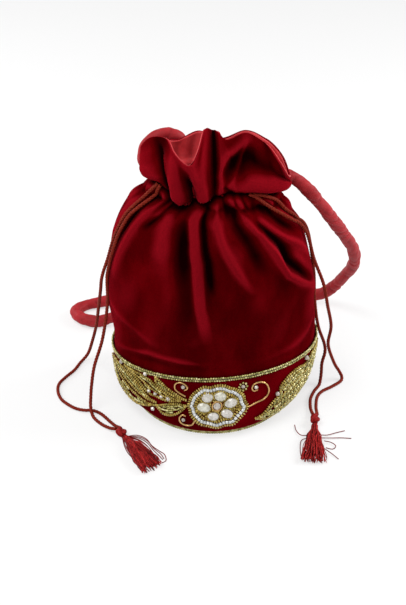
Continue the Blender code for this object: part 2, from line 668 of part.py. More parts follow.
def on_border(along, height, lift):
    """A point over the border's own faces, lifted off them."""
    heights = border_heights()
    column = (along / BORDER_GIRTH) % 1.0 * COLUMNS
    level = float(np.interp(height, heights, np.arange(len(heights))))
    low = min(int(level), len(heights) - 2)
    left = int(column) % COLUMNS
    right = (left + 1) % COLUMNS
    side, up = column - int(column), level - low
    foot = BORDER_GRID[low, left] * (1 - side) + BORDER_GRID[low, right] * side
    head = BORDER_GRID[low + 1, left] * (1 - side) + BORDER_GRID[low + 1, right] * side
    across = BORDER_GRID[low, right] - BORDER_GRID[low, left]
    normal = np.cross(across, head - foot)
    return foot * (1 - up) + head * up + normal / np.linalg.norm(normal) * lift


def side_steps(path, closed):
    """Unit vectors across a path that is drawn on the border."""
    path = np.asarray(path, float)
    if closed:
        run = np.roll(path, -1, axis=0) - np.roll(path, 1, axis=0)
    else:
        run = np.gradient(path, axis=0)
    run /= np.linalg.norm(run, axis=1, keepdims=True)
    return np.stack([-run[:, 1], run[:, 0]], 1)


NARROW = ((-0.5, 0.0), (-0.3, 1.0), (0.3, 1.0), (0.5, 0.0))
WIDE = ((-0.5, 0.0), (-0.32, 0.8), (0.0, 1.0), (0.32, 0.8), (0.5, 0.0), (0.0, 0.0))
BROAD = ((-0.5, 0.0), (-0.4, 0.9), (0.0, 1.1), (0.4, 0.9), (0.5, 0.0), (0.25, 0.0), (0.0, 0.0), (-0.25, 0.0))


def relief(name, path, widths, rise, colour, profile=NARROW, closed=False, seat=BEAD_SEAT):
    """A raised band of beadwork that follows a path on the border."""
    across = side_steps(path, closed)
    skin = Skin()
    for (along, height), (side_along, side_up), width in zip(path, across, widths):
        skin.add_ring([on_border(along + side_along * width * place, height + side_up * width * place,
                                 seat + rise * lift) for place, lift in profile])
    count = len(profile)
    first_ring = list(range(count))
    if closed:
        skin.join(skin.last, first_ring)
    else:
        skin.faces.append(tuple(first_ring))
        skin.faces.append(tuple(skin.last[::-1]))
    return to_object(name, skin.result(), colour)


def rounded(path, steps):
    """More points on a smooth curve through a drawn path; a third value is carried along."""
    path = np.asarray(path, float)
    places = np.arange(len(path), dtype=float)
    return np.array([catmull(path, place) for place in np.linspace(0, places[-1], steps)])


def catmull(path, place):
    """A curve through every point of a path, at a place counted in its points."""
    index = min(int(place), len(path) - 2)
    part = place - index
    start, end = path[index], path[index + 1]
    before = path[index - 1] if index > 0 else 2 * start - end
    after = path[index + 2] if index + 2 < len(path) else 2 * end - start
    return 0.5 * (2 * start + (end - before) * part
                  + (2 * before - 5 * start + 4 * end - after) * part ** 2
                  + (3 * start - before - 3 * end + after) * part ** 3)


STONE_STEPS = ((1.0, 0.0), (0.94, 0.45), (0.6, 0.9))
BEAD_STEPS = ((1.0, 0.0), (0.8, 0.7))


def dome(name, place, half_width, half_height, turn, rise, colour, sides=8, steps=STONE_STEPS):
    """A cut stone or bead sewn flat on the border."""
    skin = Skin()
    angle = math.radians(turn)
    for size, lift in steps:
        ring = []
        for side in range(sides):
            around = 2 * math.pi * side / sides
            out = half_width * size * math.cos(around)
            up = half_height * size * math.sin(around)
            ring.append(on_border(place[0] + out * math.cos(angle) - up * math.sin(angle),
                                  place[1] + out * math.sin(angle) + up * math.cos(angle),
                                  BEAD_SEAT + rise * lift))
        skin.add_ring(ring)
    skin.cap(list(range(sides)), on_border(place[0], place[1], BEAD_SEAT))
    skin.cap(skin.last[::-1], on_border(place[0], place[1], BEAD_SEAT + rise))
    return to_object(name, skin.result(), colour)


def scalloped(place, inset, points=24, lobes=6):
    """The flower's closed outline, with six shallow lobes, moved in by an inset."""
    outline = []
    for index in range(points):
        angle = 2 * math.pi * index / points
        reach = 1 + FLOWER_SCALLOP * math.cos(lobes * angle)
        outline.append((place[0] + (FLOWER_HALF_WIDTH - inset) * reach * math.cos(angle),
                        place[1] + (FLOWER_HALF_HEIGHT - inset) * reach * math.sin(angle)))
    return outline


def flower():
    for name, inset, width, colour in FLOWER_RINGS:
        outline = scalloped(FLOWER_PLACE, inset)
        relief(name, outline, [width] * len(outline), BEAD_RISE, colour, closed=True)
    for index, (along, height, half_width, half_height, turn) in enumerate(PETALS):
        dome(f"petal_stone_{index + 1}", (along, height), half_width, half_height, turn, STONE_RISE, "stone")
    dome("eye_stone", EYE_PLACE, EYE_RADIUS, EYE_RADIUS, 0, STONE_RISE, "stone")
    turns = 2 * math.pi * np.arange(EYE_RING_POINTS) / EYE_RING_POINTS
    eye_ring = EYE_PLACE + EYE_RING_RADIUS * np.stack([np.cos(turns), np.sin(turns)], 1)
    relief("eye_ring", eye_ring, [EYE_RING_WIDTH] * len(eye_ring), BEAD_RISE, "gold_beads", closed=True)
    dome("floret", FLORET[:2], FLORET[2], FLORET[2], 0, BEAD_RISE, "gold_beads", sides=10)


def scrolls():
    for name, path in (("scroll_right", SCROLL_RIGHT), ("scroll_upper", SCROLL_UPPER),
                       ("scroll_lower", SCROLL_LOWER)):
        curve = rounded(path, 2 * len(path) - 3)
        relief(name, curve, [SCROLL_WIDTH] * len(curve), SCROLL_WIDTH * 0.8, "wire")
    for index, place in enumerate(CRYSTALS):
        dome(f"crystal_{index + 1}", place, CRYSTAL_RADIUS, CRYSTAL_RADIUS, 0, CRYSTAL_RISE, "stone",
             sides=6, steps=BEAD_STEPS)


def leaves():
    for name, spine in LEAVES + BACK_LEAVES:
        curve = rounded(spine, LEAF_STEPS * (len(spine) - 1) + 1) * SPRAY_SCALE
        widths = np.maximum(curve[:, 2], LEAF_TIP_WIDTH)
        broad = widths.max() > BROAD_WIDTH * SPRAY_SCALE
        relief(name, curve[:, :2], widths, BEAD_RISE, "gold_beads", profile=BROAD if broad else WIDE,
               seat=BROAD_SEAT if broad else BEAD_SEAT)


def back_flower():
    """The rosette on the hidden side, a wide beaded ring round one stone."""
    place = (BORDER_GIRTH / 2, FLOWER_PLACE[1])
    outline = scalloped(place, BACK_FLOWER_INSET)
    widths = [BACK_FLOWER_WIDTH] * len(outline)
    relief("back_flower_ring", outline, widths, BEAD_RISE, "gold_beads", closed=True)
    dome("back_eye_stone", place, BACK_EYE_RADIUS, BACK_EYE_RADIUS, 0, STONE_RISE, "stone")


def smooth_route(points):
    """A fine smooth curve through a route, and the length walked along it."""
    points = np.asarray(points, float)
    places = np.linspace(0, len(points) - 1, 14 * len(points))
    fine = np.array([catmull(points, place) for place in places])
    walked = np.concatenate([[0.0], np.cumsum(np.linalg.norm(np.diff(fine, axis=0), axis=1))])
    return fine, walked


def spaced_route(points, diameter):
    """Points on the smooth curve: three diameters apart where it runs straight, closer in a bend."""
    fine, walked = smooth_route(points)
    heading = np.gradient(fine, axis=0)
    heading /= np.linalg.norm(heading, axis=1, keepdims=True)
    turned = np.degrees(np.arccos(np.clip((heading[1:] * heading[:-1]).sum(axis=1), -1, 1)))
    cost = np.maximum(np.diff(walked) / (LONGEST_STEP * diameter), turned / SHARPEST_TURN)
    spent = np.concatenate([[0.0], np.cumsum(cost)])
    stops = np.interp(np.linspace(0, spent[-1], int(math.ceil(spent[-1])) + 1), spent, walked)
    spine = np.stack([np.interp(stops, walked, fine[:, axis]) for axis in range(3)], 1)
    spine[:, 2] = np.maximum(spine[:, 2], diameter / 2 + FLOOR_GAP)
    return spine


def cord(name, points, diameter, colour):
    """A round cord along a route, with closed ends."""
    spine = spaced_route(points, diameter)
    curve = bpy.data.curves.new(name, "CURVE")
    curve.dimensions = "3D"
    curve.bevel_depth = diameter / 2 * MM
    curve.bevel_resolution = 2
    curve.use_fill_caps = True
    spline = curve.splines.new("POLY")
    spline.points.add(len(spine) - 1)
    for point, place in zip(spline.points, spine):
        point.co = (*(value * MM for value in place), 1.0)
    curve.materials.append(material_for(name, colour))
    bpy.context.scene.collection.objects.link(bpy.data.objects.new(name, curve))


def knot_axis(knot, aim):
    """Middle of a knot, its direction and the direction across it, level with the floor."""
    direction = np.array([aim[0], aim[1], 0.0]) / math.hypot(*aim)
    across = np.array([-direction[1], direction[0], 0.0])
    middle = np.array([knot[0], knot[1], KNOT_DIAMETER / 2 + GAP])
    return middle, direction, across


def string_end(knot, aim, side):
    """Where a strand meets its knot, beside its partner."""
    middle, direction, across = knot_axis(knot, aim)
    spread = (STRING_DIAMETER + STRAND_GAP) / 2
    return middle - direction * (KNOT_LENGTH / 2 + GAP) + across * side * spread


def strings():
    strands = (
        ("drawstring_left_rear", LEFT_REAR_OVER, LEFT_REAR_FREE, LEFT_KNOT, LEFT_TASSEL_AIM, 1),
        ("drawstring_left_front", LEFT_FRONT_OVER, LEFT_FRONT_FREE, LEFT_KNOT, LEFT_TASSEL_AIM, -1),
        ("drawstring_right_front", RIGHT_FRONT_OVER, RIGHT_FRONT_FREE, RIGHT_KNOT, RIGHT_TASSEL_AIM, 1),
        ("drawstring_right_rear", RIGHT_REAR_OVER, RIGHT_REAR_FREE, RIGHT_KNOT, RIGHT_TASSEL_AIM, -1),
    )
    for name, over, free, knot, aim, side in strands:
        route = [on_wall(*place) for place in over] + [np.array(place, float) for place in free]
        route.append(string_end(knot, aim, side))
        cord(name, route, STRING_DIAMETER, "string")


def handle():
    route = [on_wall(*HANDLE_START)] + [np.array(place, float) for place in HANDLE_FREE]
    cord("handle", route, HANDLE_DIAMETER, "satin")


def knot_rings(knot, aim):
    middle, direction, across = knot_axis(knot, aim)
    rings = []
    for place in KNOT_PLACES:
        reach = KNOT_DIAMETER / 2 * math.sin(math.pi * place)
        centre = middle - direction * KNOT_LENGTH / 2 * math.cos(math.pi * place)
        turns = 2 * math.pi * np.arange(KNOT_SIDES) / KNOT_SIDES
        ring = centre + np.outer(np.cos(turns), across) * reach
        ring[:, 2] += np.sin(turns) * reach
        rings.append(ring)
    return rings


def tassel_rings(knot, aim):
    """Head, bound neck and fluted skirt, which lies flattened on the floor."""
    middle, direction, across = knot_axis(knot, aim)
    start = KNOT_LENGTH / 2 + GAP
    turns = math.pi * np.arange(2 * TASSEL_FLUTES) / TASSEL_FLUTES
    rings = []
    for place, width, height, flute in TASSEL_STATIONS:
        reach = 1 + flute * np.cos(TASSEL_FLUTES * turns)
        ring = middle + direction * (start + place * TASSEL_LENGTH)
        ring = ring + np.outer(np.cos(turns) * reach, across) * width * TASSEL_WIDTH / 2
        tall = height * TASSEL_HEIGHT / 2
        ring[:, 2] = tall * (1 + flute + reach * np.sin(turns)) + GAP
        rings.append(ring)
    return rings


def lofted(name, rings, colour):
    """A closed body through rings of equal size, flat at both ends."""
    skin = Skin()
    for ring in rings:
        skin.add_ring(ring)
    skin.faces.append(tuple(range(len(rings[0]))))
    skin.faces.append(tuple(skin.last[::-1]))
    return to_object(name, skin.result(), colour)


def knots_and_tassels():
    for side, knot, aim in (("left", LEFT_KNOT, LEFT_TASSEL_AIM), ("right", RIGHT_KNOT, RIGHT_TASSEL_AIM)):
        lofted(f"knot_{side}", knot_rings(knot, aim), "string")
        lofted(f"tassel_{side}", tassel_rings(knot, aim), "tassel")


def main_cloth():
    velvet_body()
    satin_lining()
    base_panel()
    border_band()
    border_piping()
    base_piping()


def main():
    clear_scene()
    main_cloth()
    flower()
    back_flower()
    scrolls()
    leaves()
    strings()
    handle()
    knots_and_tassels()


main()
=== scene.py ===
"""Looks of the velvet potli bag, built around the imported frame.

Lengths are in millimetres and become metres where a mesh is made. X runs to the right of the front,
Y away from the front and Z up. A place round the bag is a share of its girth, or is counted in
pleats, sixteen of them, from the front middle to the right.
"""
import math

import bpy
import numpy as np
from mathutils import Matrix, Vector


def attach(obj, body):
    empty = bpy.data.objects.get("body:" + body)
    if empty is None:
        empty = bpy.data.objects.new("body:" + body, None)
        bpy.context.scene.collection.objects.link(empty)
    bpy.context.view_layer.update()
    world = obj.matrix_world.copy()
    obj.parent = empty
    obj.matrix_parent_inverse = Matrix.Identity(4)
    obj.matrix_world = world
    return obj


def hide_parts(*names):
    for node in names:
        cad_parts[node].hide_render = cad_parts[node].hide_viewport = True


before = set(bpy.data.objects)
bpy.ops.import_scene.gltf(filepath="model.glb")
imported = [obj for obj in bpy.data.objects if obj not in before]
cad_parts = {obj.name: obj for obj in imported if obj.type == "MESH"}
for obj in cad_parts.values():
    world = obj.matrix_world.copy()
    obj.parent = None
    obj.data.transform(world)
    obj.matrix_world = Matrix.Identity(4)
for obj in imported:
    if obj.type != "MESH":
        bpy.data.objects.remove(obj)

MM = 0.001
TAU = 2 * math.pi
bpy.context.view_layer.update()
RANDOM = np.random.default_rng(11)


def table(text, width=3):
    """Rows of numbers, written as text with a comma after each row."""
    return np.array(text.replace(",", " ").split(), float).reshape(-1, width)


# Camera: the photo's viewing angle
LOOK_AT = Vector((-0.0085, 0.0, 0.0935))
CAMERA_ELEVATION = math.radians(35)
CAMERA_DISTANCE = 1.15
FOCAL_PIXELS = 1264
PHOTO_HEIGHT = 605
SENSOR = 36.0

# The bag's shape, as in the part's source
GAP = 0.35
VELVET = 1.6
LINING = 0.8
BORDER_CLOTH = 1.2
LINING_SLACK = 1.0
BASE_RADIUS = 70.5
BASE_THICKNESS = 1.8
BASE_PIPING_RADIUS = 2.2
FOOT_BEVEL = 1.0
BORDER_HEIGHT = 54.0
PIPING_WIDTH = 4.6
SHOULDER_HEIGHT = 172.0
NECK_HEIGHT = 207.0
BODY_START = BASE_THICKNESS + GAP
SEAM_HEIGHT = 2 * BASE_PIPING_RADIUS + 2 * GAP
# height, half width, half depth, middle x, middle y, tilt
PROFILE = np.array((
    (SEAM_HEIGHT, 74.5, 74.5, 0, 0, 0), (15, 85, 75.4, 0, 0, 1), (28, 90.5, 71, 1, 0, 2.5),
    (BORDER_HEIGHT, 92.5, 64.5, 2, 0, 5), (112, 92.5, 58.5, -2, 0, 0),
    (SHOULDER_HEIGHT, 83, 49.5, -3.5, 0, 0), (197, 69.5, 38, -1.5, 2, -5),
    (NECK_HEIGHT, 57, 29, 1.5, 4, -5),
), float)
BELLY_HEIGHT = 28.0
PLEATS = 16
PLEAT_DEPTH_NECK = 2.4
PLEAT_DEPTH_SHOULDER = 4.4
PLEAT_REACH = (40, 36, 44, 60, 90, 64, 84, 58, 96, 62, 88, 66, 92, 60, 44, 38)
PLEAT_SHARE = (0.2, 0.2, 0.2, 0.3, 0.9, 0.7, 1.1, 0.7, 1.2, 0.8, 1.1, 0.7, 0.9, 0.4, 0.25, 0.2)
PLEAT_RUN_IN = 12.0
PLEAT_FAN = 9.0
SIDE_EASE = 0.65
# place in pleats, x, y, height over the neck
RIM_ROUTE = table(
    "0 0 12 55, 0.5 4 3 57, 1.2 12 -2 53, 2.1 27 1 58, 3 42 1 50, 3.5 53 -7 37, 4 62 -11 22,"
    "4.5 66 -3 18, 5.1 61 9 30, 6 46 24 41, 7.1 28 36 43, 8 7 33 37, 8.9 -12 37 42, 9.8 -30 33 36,"
    "10.7 -44 26 38, 11.6 -57 15 36, 12.5 -61 4 43, 13.2 -52 -1 55, 13.7 -40 -9 58,"
    "14.2 -34 -25 54, 14.5 -29 -31 49.5, 14.8 -22 -33 45, 15.05 -17 -30 44.5, 15.25 -12 -20 49.5,"
    "15.6 -6 -2 63", 4)
HEADING_RISE = 20.0
HEADING_FLARE = 5.0
RIM_WAVE_FADE = 0.7

# Cords, as in the part's source
STRING_DIAMETER = 3.2
HANDLE_DIAMETER = 12.0
STRAND_GAP = 0.55
FLOOR_GAP = 0.2
KNOT_LENGTH = 12.0
KNOT_DIAMETER = 9.6
TASSEL_LENGTH = 50.0
TASSEL_WIDTH = 24.0
TASSEL_HEIGHT = 9.0
# Each strand: its side of the knot, where it leaves the casing (up the cloth, place in pleats and
# lift), and its points from there, over the shoulder and down to the floor
STRANDS = {
    "left_rear": (
        1, "222.5 -2.85 1.2, 217 -3.05 1.9, 211 -3.28 2",
        "-65.210006 -12.453911 204.652088, -74.509027 -13.735466 195.041373,"
        "-82.666264 -15.359589 179.912211, -87.531013 -14.247033 166, -91.759275 -11.983765 150,"
        "-98 -12 130, -101 -2 108, -105 12 80, -109.5 24 50, -115 31 26, -120 35 9, -126 32 1.8,"
        "-132 18 1.8, -140 6 1.8, -145 -4 1.8, -145 -15 1.8, -141 -26 1.8, -134 -34 1.8, -126 -40 1.8,"
        "-118 -42.5 1.8, -110 -43 1.8, -102 -48 1.8, -93 -59 1.8, -88 -65.5 2.6"),
    "left_front": (
        -1, "221.5 -2.66 1.2, 216 -2.86 1.9, 210 -3.08 2",
        "-62.961296 -17.063393 204.435054, -71.851585 -18.165407 196.076626,"
        "-80.41554 -20.525925 181.112264, -85.653343 -20.324963 166, -89.857424 -18.104895 150,"
        "-93.346605 -14.45258 130, -94.570584 -12.159078 99.456642, -100 -18 66, -108 -26 41, -111 -32 24,"
        "-112 -37 13, -112 -43 6.3, -110 -50 2.6, -106.5 -56 1.8, -100 -63 1.8, -93 -68.5 2.6"),
    "right_front": (
        1, "221.5 1.75 1.2, 217 2.1 2, 212.5 2.5 2.1, 208.5 2.85 2.1",
        "57.933502 -15.917638 197.626901, 67.131624 -13.073648 190.386936, 74.603228 -9.169911 183.116577,"
        "80.796043 -5.97909 173.909704, 85.282097 -2.973467 160, 89.986587 -2.110475 142, 99 -9 120,"
        "104 -8 96, 109 -4 70, 108 0 46, 115 4 22, 121 7 9, 124 6 2.6, 122 0 1.8, 113 -8 1.8,"
        "104 -14.5 1.8, 98.5 -23 1.8, 96.3 -37 1.8, 96.3 -46 2.6"),
    "right_rear": (
        -1, "221.5 1.95 1.4, 218.5 2.35 2, 215 2.8 2.1, 210.5 3.2 2.1",
        "64.252498 -9.704789 195.244717, 71.996928 -6.347419 187.588061, 78.788547 -2.236715 180.242412,"
        "83.427117 2.417233 168, 87.133823 6.085877 150, 91.649007 7.477617 120,"
        "93.743129 8.994223 91.596715, 98 6 64, 105 8 42, 106.5 8 31, 104 5 20, 103.6 2 9, 102 -4 2.4,"
        "99.5 -9 1.8, 96 -15 1.8, 92 -26 1.8, 91 -38 1.8, 91.7 -46 2.6"),
}
HANDLE_EXIT = (-49.38627101668774, 25.030593459847815, 211.1451878627752)
HANDLE_ROUTE = table(
    "-54 32 211, -60 37 220, -59 39.5 230, -53 41 238, -43 43 242, -32 45 239, -27 50 229,"
    "-24 57 212, -25 64 190, -31 71 160, -43 78 122, -59 85 80, -76 91 42, -92 94 16, -106 93 7.4,"
    "-119 92 6.2, -131 97 6.2, -138 108 6.2, -131 119 6.2, -117 125 6.2, -98 130 6.2, -60 135 6.2,"
    "0 138 6.2, 60 139 6.2, 94 138 6.6, 112 133 11, 124 125 25, 132 112 46, 138 97 68, 138 83 87,"
    "133 67 110, 121 50 136, 108 35 161, 96 27 181, 85 21 197.5, 73 23.5 208, 64 22.5 213,"
    "58.5 19.5 214.5")
# Each knot: its place, its tassel's aim, the threads' seed, and loose threads on the floor
KNOTS = {
    "left": ((-82, -77), (29, -44), 3, (
        "-78 -80, -68 -77.6, -59.6 -82, -54 -91, -47.2 -97.7, -42.7 -102, -41 -109.7, -44.6 -113",
        "-78 -80.5, -67 -79.4, -58.5 -84.5, -52.5 -94, -46 -101.5, -43 -107.5",
        "-78 -81, -67 -81, -58.6 -87, -52.6 -96.5, -47.5 -103.5, -44 -108.6",
        "-78 -81.5, -67.5 -82.6, -59.5 -89.6, -54 -98.4, -49 -106, -46 -111",
        "-78 -82, -67 -84, -58 -92, -52.5 -101, -48.5 -109, -50 -114.5",
        "-81 -81, -78.8 -91, -75.4 -100, -70.6 -107.5, -70.2 -110.2, -67.9 -114, -64.4 -117.2",
        "-80.5 -82, -77.2 -93, -72.6 -103, -67.6 -111, -62.9 -119.4, -61 -125.7",
        "-79.5 -83, -74.4 -95, -68 -107, -60 -118, -55.3 -124")),
    "right": ((93.5, -59), (-5.5, -57), 5, (
        "87 -78, 80 -77, 76 -70, 75 -62",
        "88 -82, 80 -84, 78 -96, 78.5 -108",
        "98 -78, 104 -77, 112 -73, 120 -70",
        "98 -82, 106 -81, 116 -80, 125 -80.5",
        "100 -86, 106 -87, 110 -91, 107 -95, 101 -93",
        "99 -96, 103 -99, 107 -103, 111 -108")),
}


def new_object(name, data):
    made = bpy.data.objects.new(name, data)
    bpy.context.scene.collection.objects.link(made)
    return made


def make_camera():
    data = bpy.data.cameras.new("camera")
    camera = new_object("camera", data)
    back = Vector((0.0, -math.cos(CAMERA_ELEVATION), math.sin(CAMERA_ELEVATION)))
    camera.location = LOOK_AT + back * CAMERA_DISTANCE
    camera.rotation_euler = (-back).to_track_quat("-Z", "Y").to_euler()
    data.sensor_fit = "VERTICAL"
    data.sensor_height = SENSOR
    data.lens = SENSOR * FOCAL_PIXELS / PHOTO_HEIGHT
    data.clip_start = 0.01
    bpy.context.scene.camera = camera


make_camera()


# Materials

MATERIALS = {}


def node_material(name, rough, metallic=0.0, **sockets):
    """A new material under its name, with plain values on its shader's sockets."""
    material = bpy.data.materials.new(name)
    material.use_nodes = True
    shader = material.node_tree.nodes["Principled BSDF"]
    for socket, value in {"Roughness": rough, "Metallic": metallic, **sockets}.items():
        shader.inputs[socket.replace("_", " ")].default_value = value
    MATERIALS[name] = material
    return material.node_tree, shader


def add(tree, kind, **values):
    node = tree.nodes.new("ShaderNode" + kind)
    for key, value in values.items():
        if key in node.inputs:
            node.inputs[key].default_value = value
        else:
            setattr(node, key, value)
    return node


def feed(tree, socket, item):
    """Links an output to a socket, or gives the socket a number or a colour."""
    if isinstance(item, bpy.types.NodeSocket):
        tree.links.new(item, socket)
    else:
        socket.default_value = (*item, 1.0) if isinstance(item, tuple) else item


def noise(tree, scale, detail=2.0, rough=0.5, stretch=(1.0, 1.0, 1.0)):
    """Noise over the object's own coordinates, in features per metre."""
    mapping = add(tree, "Mapping", Scale=stretch)
    feed(tree, mapping.inputs["Vector"], add(tree, "TexCoord").outputs["Object"])
    node = add(tree, "TexNoise", Scale=scale, Detail=detail, Roughness=rough)
    feed(tree, node.inputs["Vector"], mapping.outputs["Vector"])
    return node.outputs["Fac"]


def ramp(tree, value, *stops):
    """Colours along a value; a stop with a plain number is a grey."""
    node = add(tree, "ValToRGB")
    elements = node.color_ramp.elements
    while len(elements) < len(stops):
        elements.new(0.5)
    for element, (place, colour) in zip(elements, stops):
        element.position = place
        element.color = (*(colour if isinstance(colour, tuple) else (colour,) * 3), 1.0)
    feed(tree, node.inputs["Fac"], value)
    return node.outputs["Color"]


def mixed(tree, share, first, second, kind="MIX"):
    node = add(tree, "Mix", data_type="RGBA", blend_type=kind)
    for socket, item in ((0, share), (6, first), (7, second)):
        feed(tree, node.inputs[socket], item)
    return node.outputs[2]


def times(tree, first, second, share=1.0):
    return mixed(tree, share, first, second, "MULTIPLY")


def maths(tree, kind, first, second):
    node = add(tree, "Math", operation=kind)
    feed(tree, node.inputs[0], first)
    feed(tree, node.inputs[1], second)
    return node.outputs[0]


def bump(tree, shader, height, strength, distance, below=None):
    node = add(tree, "Bump", Strength=strength, Distance=distance)
    feed(tree, node.inputs["Height"], height)
    if below is not None:
        feed(tree, node.inputs["Normal"], below)
    feed(tree, shader.inputs["Normal"], node.outputs["Normal"])
    return node.outputs["Normal"]


# The tone attribute: a random tone for beads and threads, and painted shade and highlight for the cloth.
def tone_and_shade_of(tree):
    return add(tree, "Attribute", attribute_name="tone").outputs["Fac"]


def velvet_material(name, dark, mid, bright, sheen):
    """Cut pile: deep colour, a lit nap at grazing angles, brushed patches and a fine grain, with painted shade in the
    folds and a painted highlight on the crests.
    """
    tree, shader = node_material(name, 0.95, Sheen_Weight=sheen, Sheen_Roughness=0.3,
                                 Sheen_Tint=(0.8, 0.04, 0.07, 1.0), Specular_IOR_Level=0.0)
    nap = noise(tree, 34, 4.0, 0.62, (1.0, 1.0, 0.5))
    colour = ramp(tree, nap, (0.3, dark), (0.5, mid), (0.7, bright))
    colour = times(tree, colour, ramp(tree, noise(tree, 13), (0.35, 0.72), (0.65, 1.22)))
    # Painted shade: the tone darkens the pile nearly to black in the folds and lightens it a little on the crests.
    shade = ramp(tree, tone_and_shade_of(tree), (0.0, 0.07), (0.3, 0.5), (0.5, 1.0), (0.72, 1.12))
    # Painted highlight: on the crests the colour is mixed towards a paler red.
    crest = ramp(tree, tone_and_shade_of(tree), (0.58, 0.0), (0.9, 0.5))
    colour = mixed(tree, crest, times(tree, colour, shade), (0.34, 0.006, 0.014))
    grain = ramp(tree, noise(tree, 1300, 2.0, 0.7), (0.35, 0.78), (0.65, 1.2))
    feed(tree, shader.inputs["Base Color"], times(tree, colour, grain, 0.8))
    brushed = bump(tree, shader, noise(tree, 120, 3.0, 0.6, (1.0, 1.0, 0.4)), 0.25, 0.0012)
    bump(tree, shader, noise(tree, 1700, 2.0, 0.7), 0.5, 0.0004, brushed)


def satin_material(name, dark, bright, rough):
    """Woven satin: mottled colour, with painted shade in its wrinkles, over a soft crumple."""
    tree, shader = node_material(name, rough, Specular_IOR_Level=0.1)
    base = ramp(tree, noise(tree, 60, 3.0, 0.6), (0.3, dark), (0.7, bright))
    # Painted shade: a low tone darkens the satin in its wrinkles and hollows.
    shade = ramp(tree, tone_and_shade_of(tree), (0.0, 0.42), (0.5, 0.95), (1.0, 1.1))
    feed(tree, shader.inputs["Base Color"], times(tree, base, shade))
    weave = noise(tree, 3200, 1.0, 0.5, (1.0, 1.0, 0.25))
    coarse = bump(tree, shader, noise(tree, 170, 3.0, 0.6), 0.3, 0.0012)
    bump(tree, shader, weave, 0.15, 0.0002, coarse)


def thread_material(name, dark, bright, rough, low=0.7, high=1.15):
    """Silky yarn: fine streaks of colour, and a tone of its own for each thread."""
    tree, shader = node_material(name, rough, Specular_IOR_Level=0.08)
    base = ramp(tree, noise(tree, 900, 3.0, 0.7), (0.32, dark), (0.68, bright))
    shade = ramp(tree, tone_and_shade_of(tree), (0.0, low), (1.0, high))
    feed(tree, shader.inputs["Base Color"], times(tree, base, shade))
    bump(tree, shader, noise(tree, 1800, 2.0, 0.7), 0.5, 0.0003)


def bead_material(name, colours, rough, metallic, coat, cloud=0.0):
    """Glass or metal beads; every bead has its own tone, and a stone has clouds in it."""
    tree, shader = node_material(name, rough, metallic, Coat_Weight=coat, Coat_Roughness=0.08)
    base = ramp(tree, tone_and_shade_of(tree), *zip(np.linspace(0, 1, len(colours)), colours))
    speck = ramp(tree, noise(tree, 700, 2.0, 0.6), (0.3, 0.75), (0.7, 1.15))
    colour = times(tree, base, speck, 0.7)
    if cloud:
        clouds = ramp(tree, noise(tree, 330, 2.0, 0.6), (0.4, (0.5, 0.46, 0.36)), (0.6, (1.05, 1.05, 1.02)))
        colour = times(tree, colour, clouds, cloud)
    feed(tree, shader.inputs["Base Color"], colour)
    bump(tree, shader, noise(tree, 1500, 1.0, 0.5), 0.08, 0.0002)


velvet_material("velvet_pile", (0.052, 0.0, 0.0005), (0.078, 0.0, 0.001), (0.11, 0.0005, 0.002), 0.3)
velvet_material("border_pile", (0.075, 0.0, 0.001), (0.105, 0.0, 0.002), (0.135, 0.0005, 0.003), 0.2)
satin_material("lining_satin", (0.52, 0.035, 0.042), (0.70, 0.070, 0.080), 0.4)
satin_material("handle_satin", (0.27, 0.013, 0.017), (0.38, 0.024, 0.030), 0.5)
thread_material("string_yarn", (0.17, 0.009, 0.005), (0.38, 0.038, 0.015), 0.6)
thread_material("knot_yarn", (0.20, 0.005, 0.006), (0.50, 0.022, 0.021), 0.55)
thread_material("tassel_silk", (0.085, 0.0015, 0.003), (0.52, 0.028, 0.026), 0.5, 0.3, 1.6)
for bead in (
        ("gold_seed", ((0.24, 0.145, 0.012), (0.42, 0.29, 0.04), (0.62, 0.47, 0.11), (0.28, 0.21, 0.035)),
         0.28, 0.45, 0.3),
        ("bugle_glass", ((0.24, 0.23, 0.05), (0.46, 0.40, 0.11), (0.80, 0.74, 0.36)), 0.18, 0.3, 0.4),
        ("olive_glass", ((0.045, 0.042, 0.008), (0.085, 0.080, 0.016), (0.14, 0.12, 0.03)), 0.25, 0.2, 0.4),
        ("silver_seed", ((0.50, 0.52, 0.52), (0.70, 0.72, 0.72), (0.82, 0.83, 0.81)), 0.22, 0.2, 0.4),
        ("opal_stone", ((0.62, 0.62, 0.52), (0.74, 0.73, 0.64), (0.68, 0.63, 0.68)), 0.12, 0.0, 1.0, 0.5),
        ("cut_crystal", ((0.52, 0.46, 0.42), (0.74, 0.70, 0.66)), 0.08, 0.2, 1.0, 0.6),
        ("coiled_wire", ((0.60, 0.33, 0.10), (0.80, 0.50, 0.20)), 0.3, 0.85, 0.3)):
    bead_material(*bead)


# Surface of the bag

def smooth_steps(positions, values, query):
    """A smooth curve through the given values, with no overshoot between them."""
    runs = np.diff(positions)
    slopes = np.diff(values, axis=0) / runs[:, None]
    tangents = np.zeros_like(values)
    tangents[0], tangents[-1] = slopes[0], slopes[-1]
    before, after = slopes[:-1], slopes[1:]
    with np.errstate(divide="ignore", invalid="ignore"):
        tangents[1:-1] = np.where(before * after > 0, 2 * before * after / (before + after), 0.0)
    query = np.clip(query, positions[0], positions[-1])
    index = int(np.clip(np.searchsorted(positions, query) - 1, 0, len(runs) - 1))
    run = runs[index]
    part = (query - positions[index]) / run
    blend = part * part * (3 - 2 * part)
    lead_in = part * (1 - part) ** 2 * run
    lead_out = part * part * (part - 1) * run
    return (values[index] * (1 - blend) + values[index + 1] * blend
            + tangents[index] * lead_in + tangents[index + 1] * lead_out)


def section(height):
    return smooth_steps(PROFILE[:, 0], PROFILE[:, 1:], height)


FINE_TURN = np.linspace(0, TAU, 721)


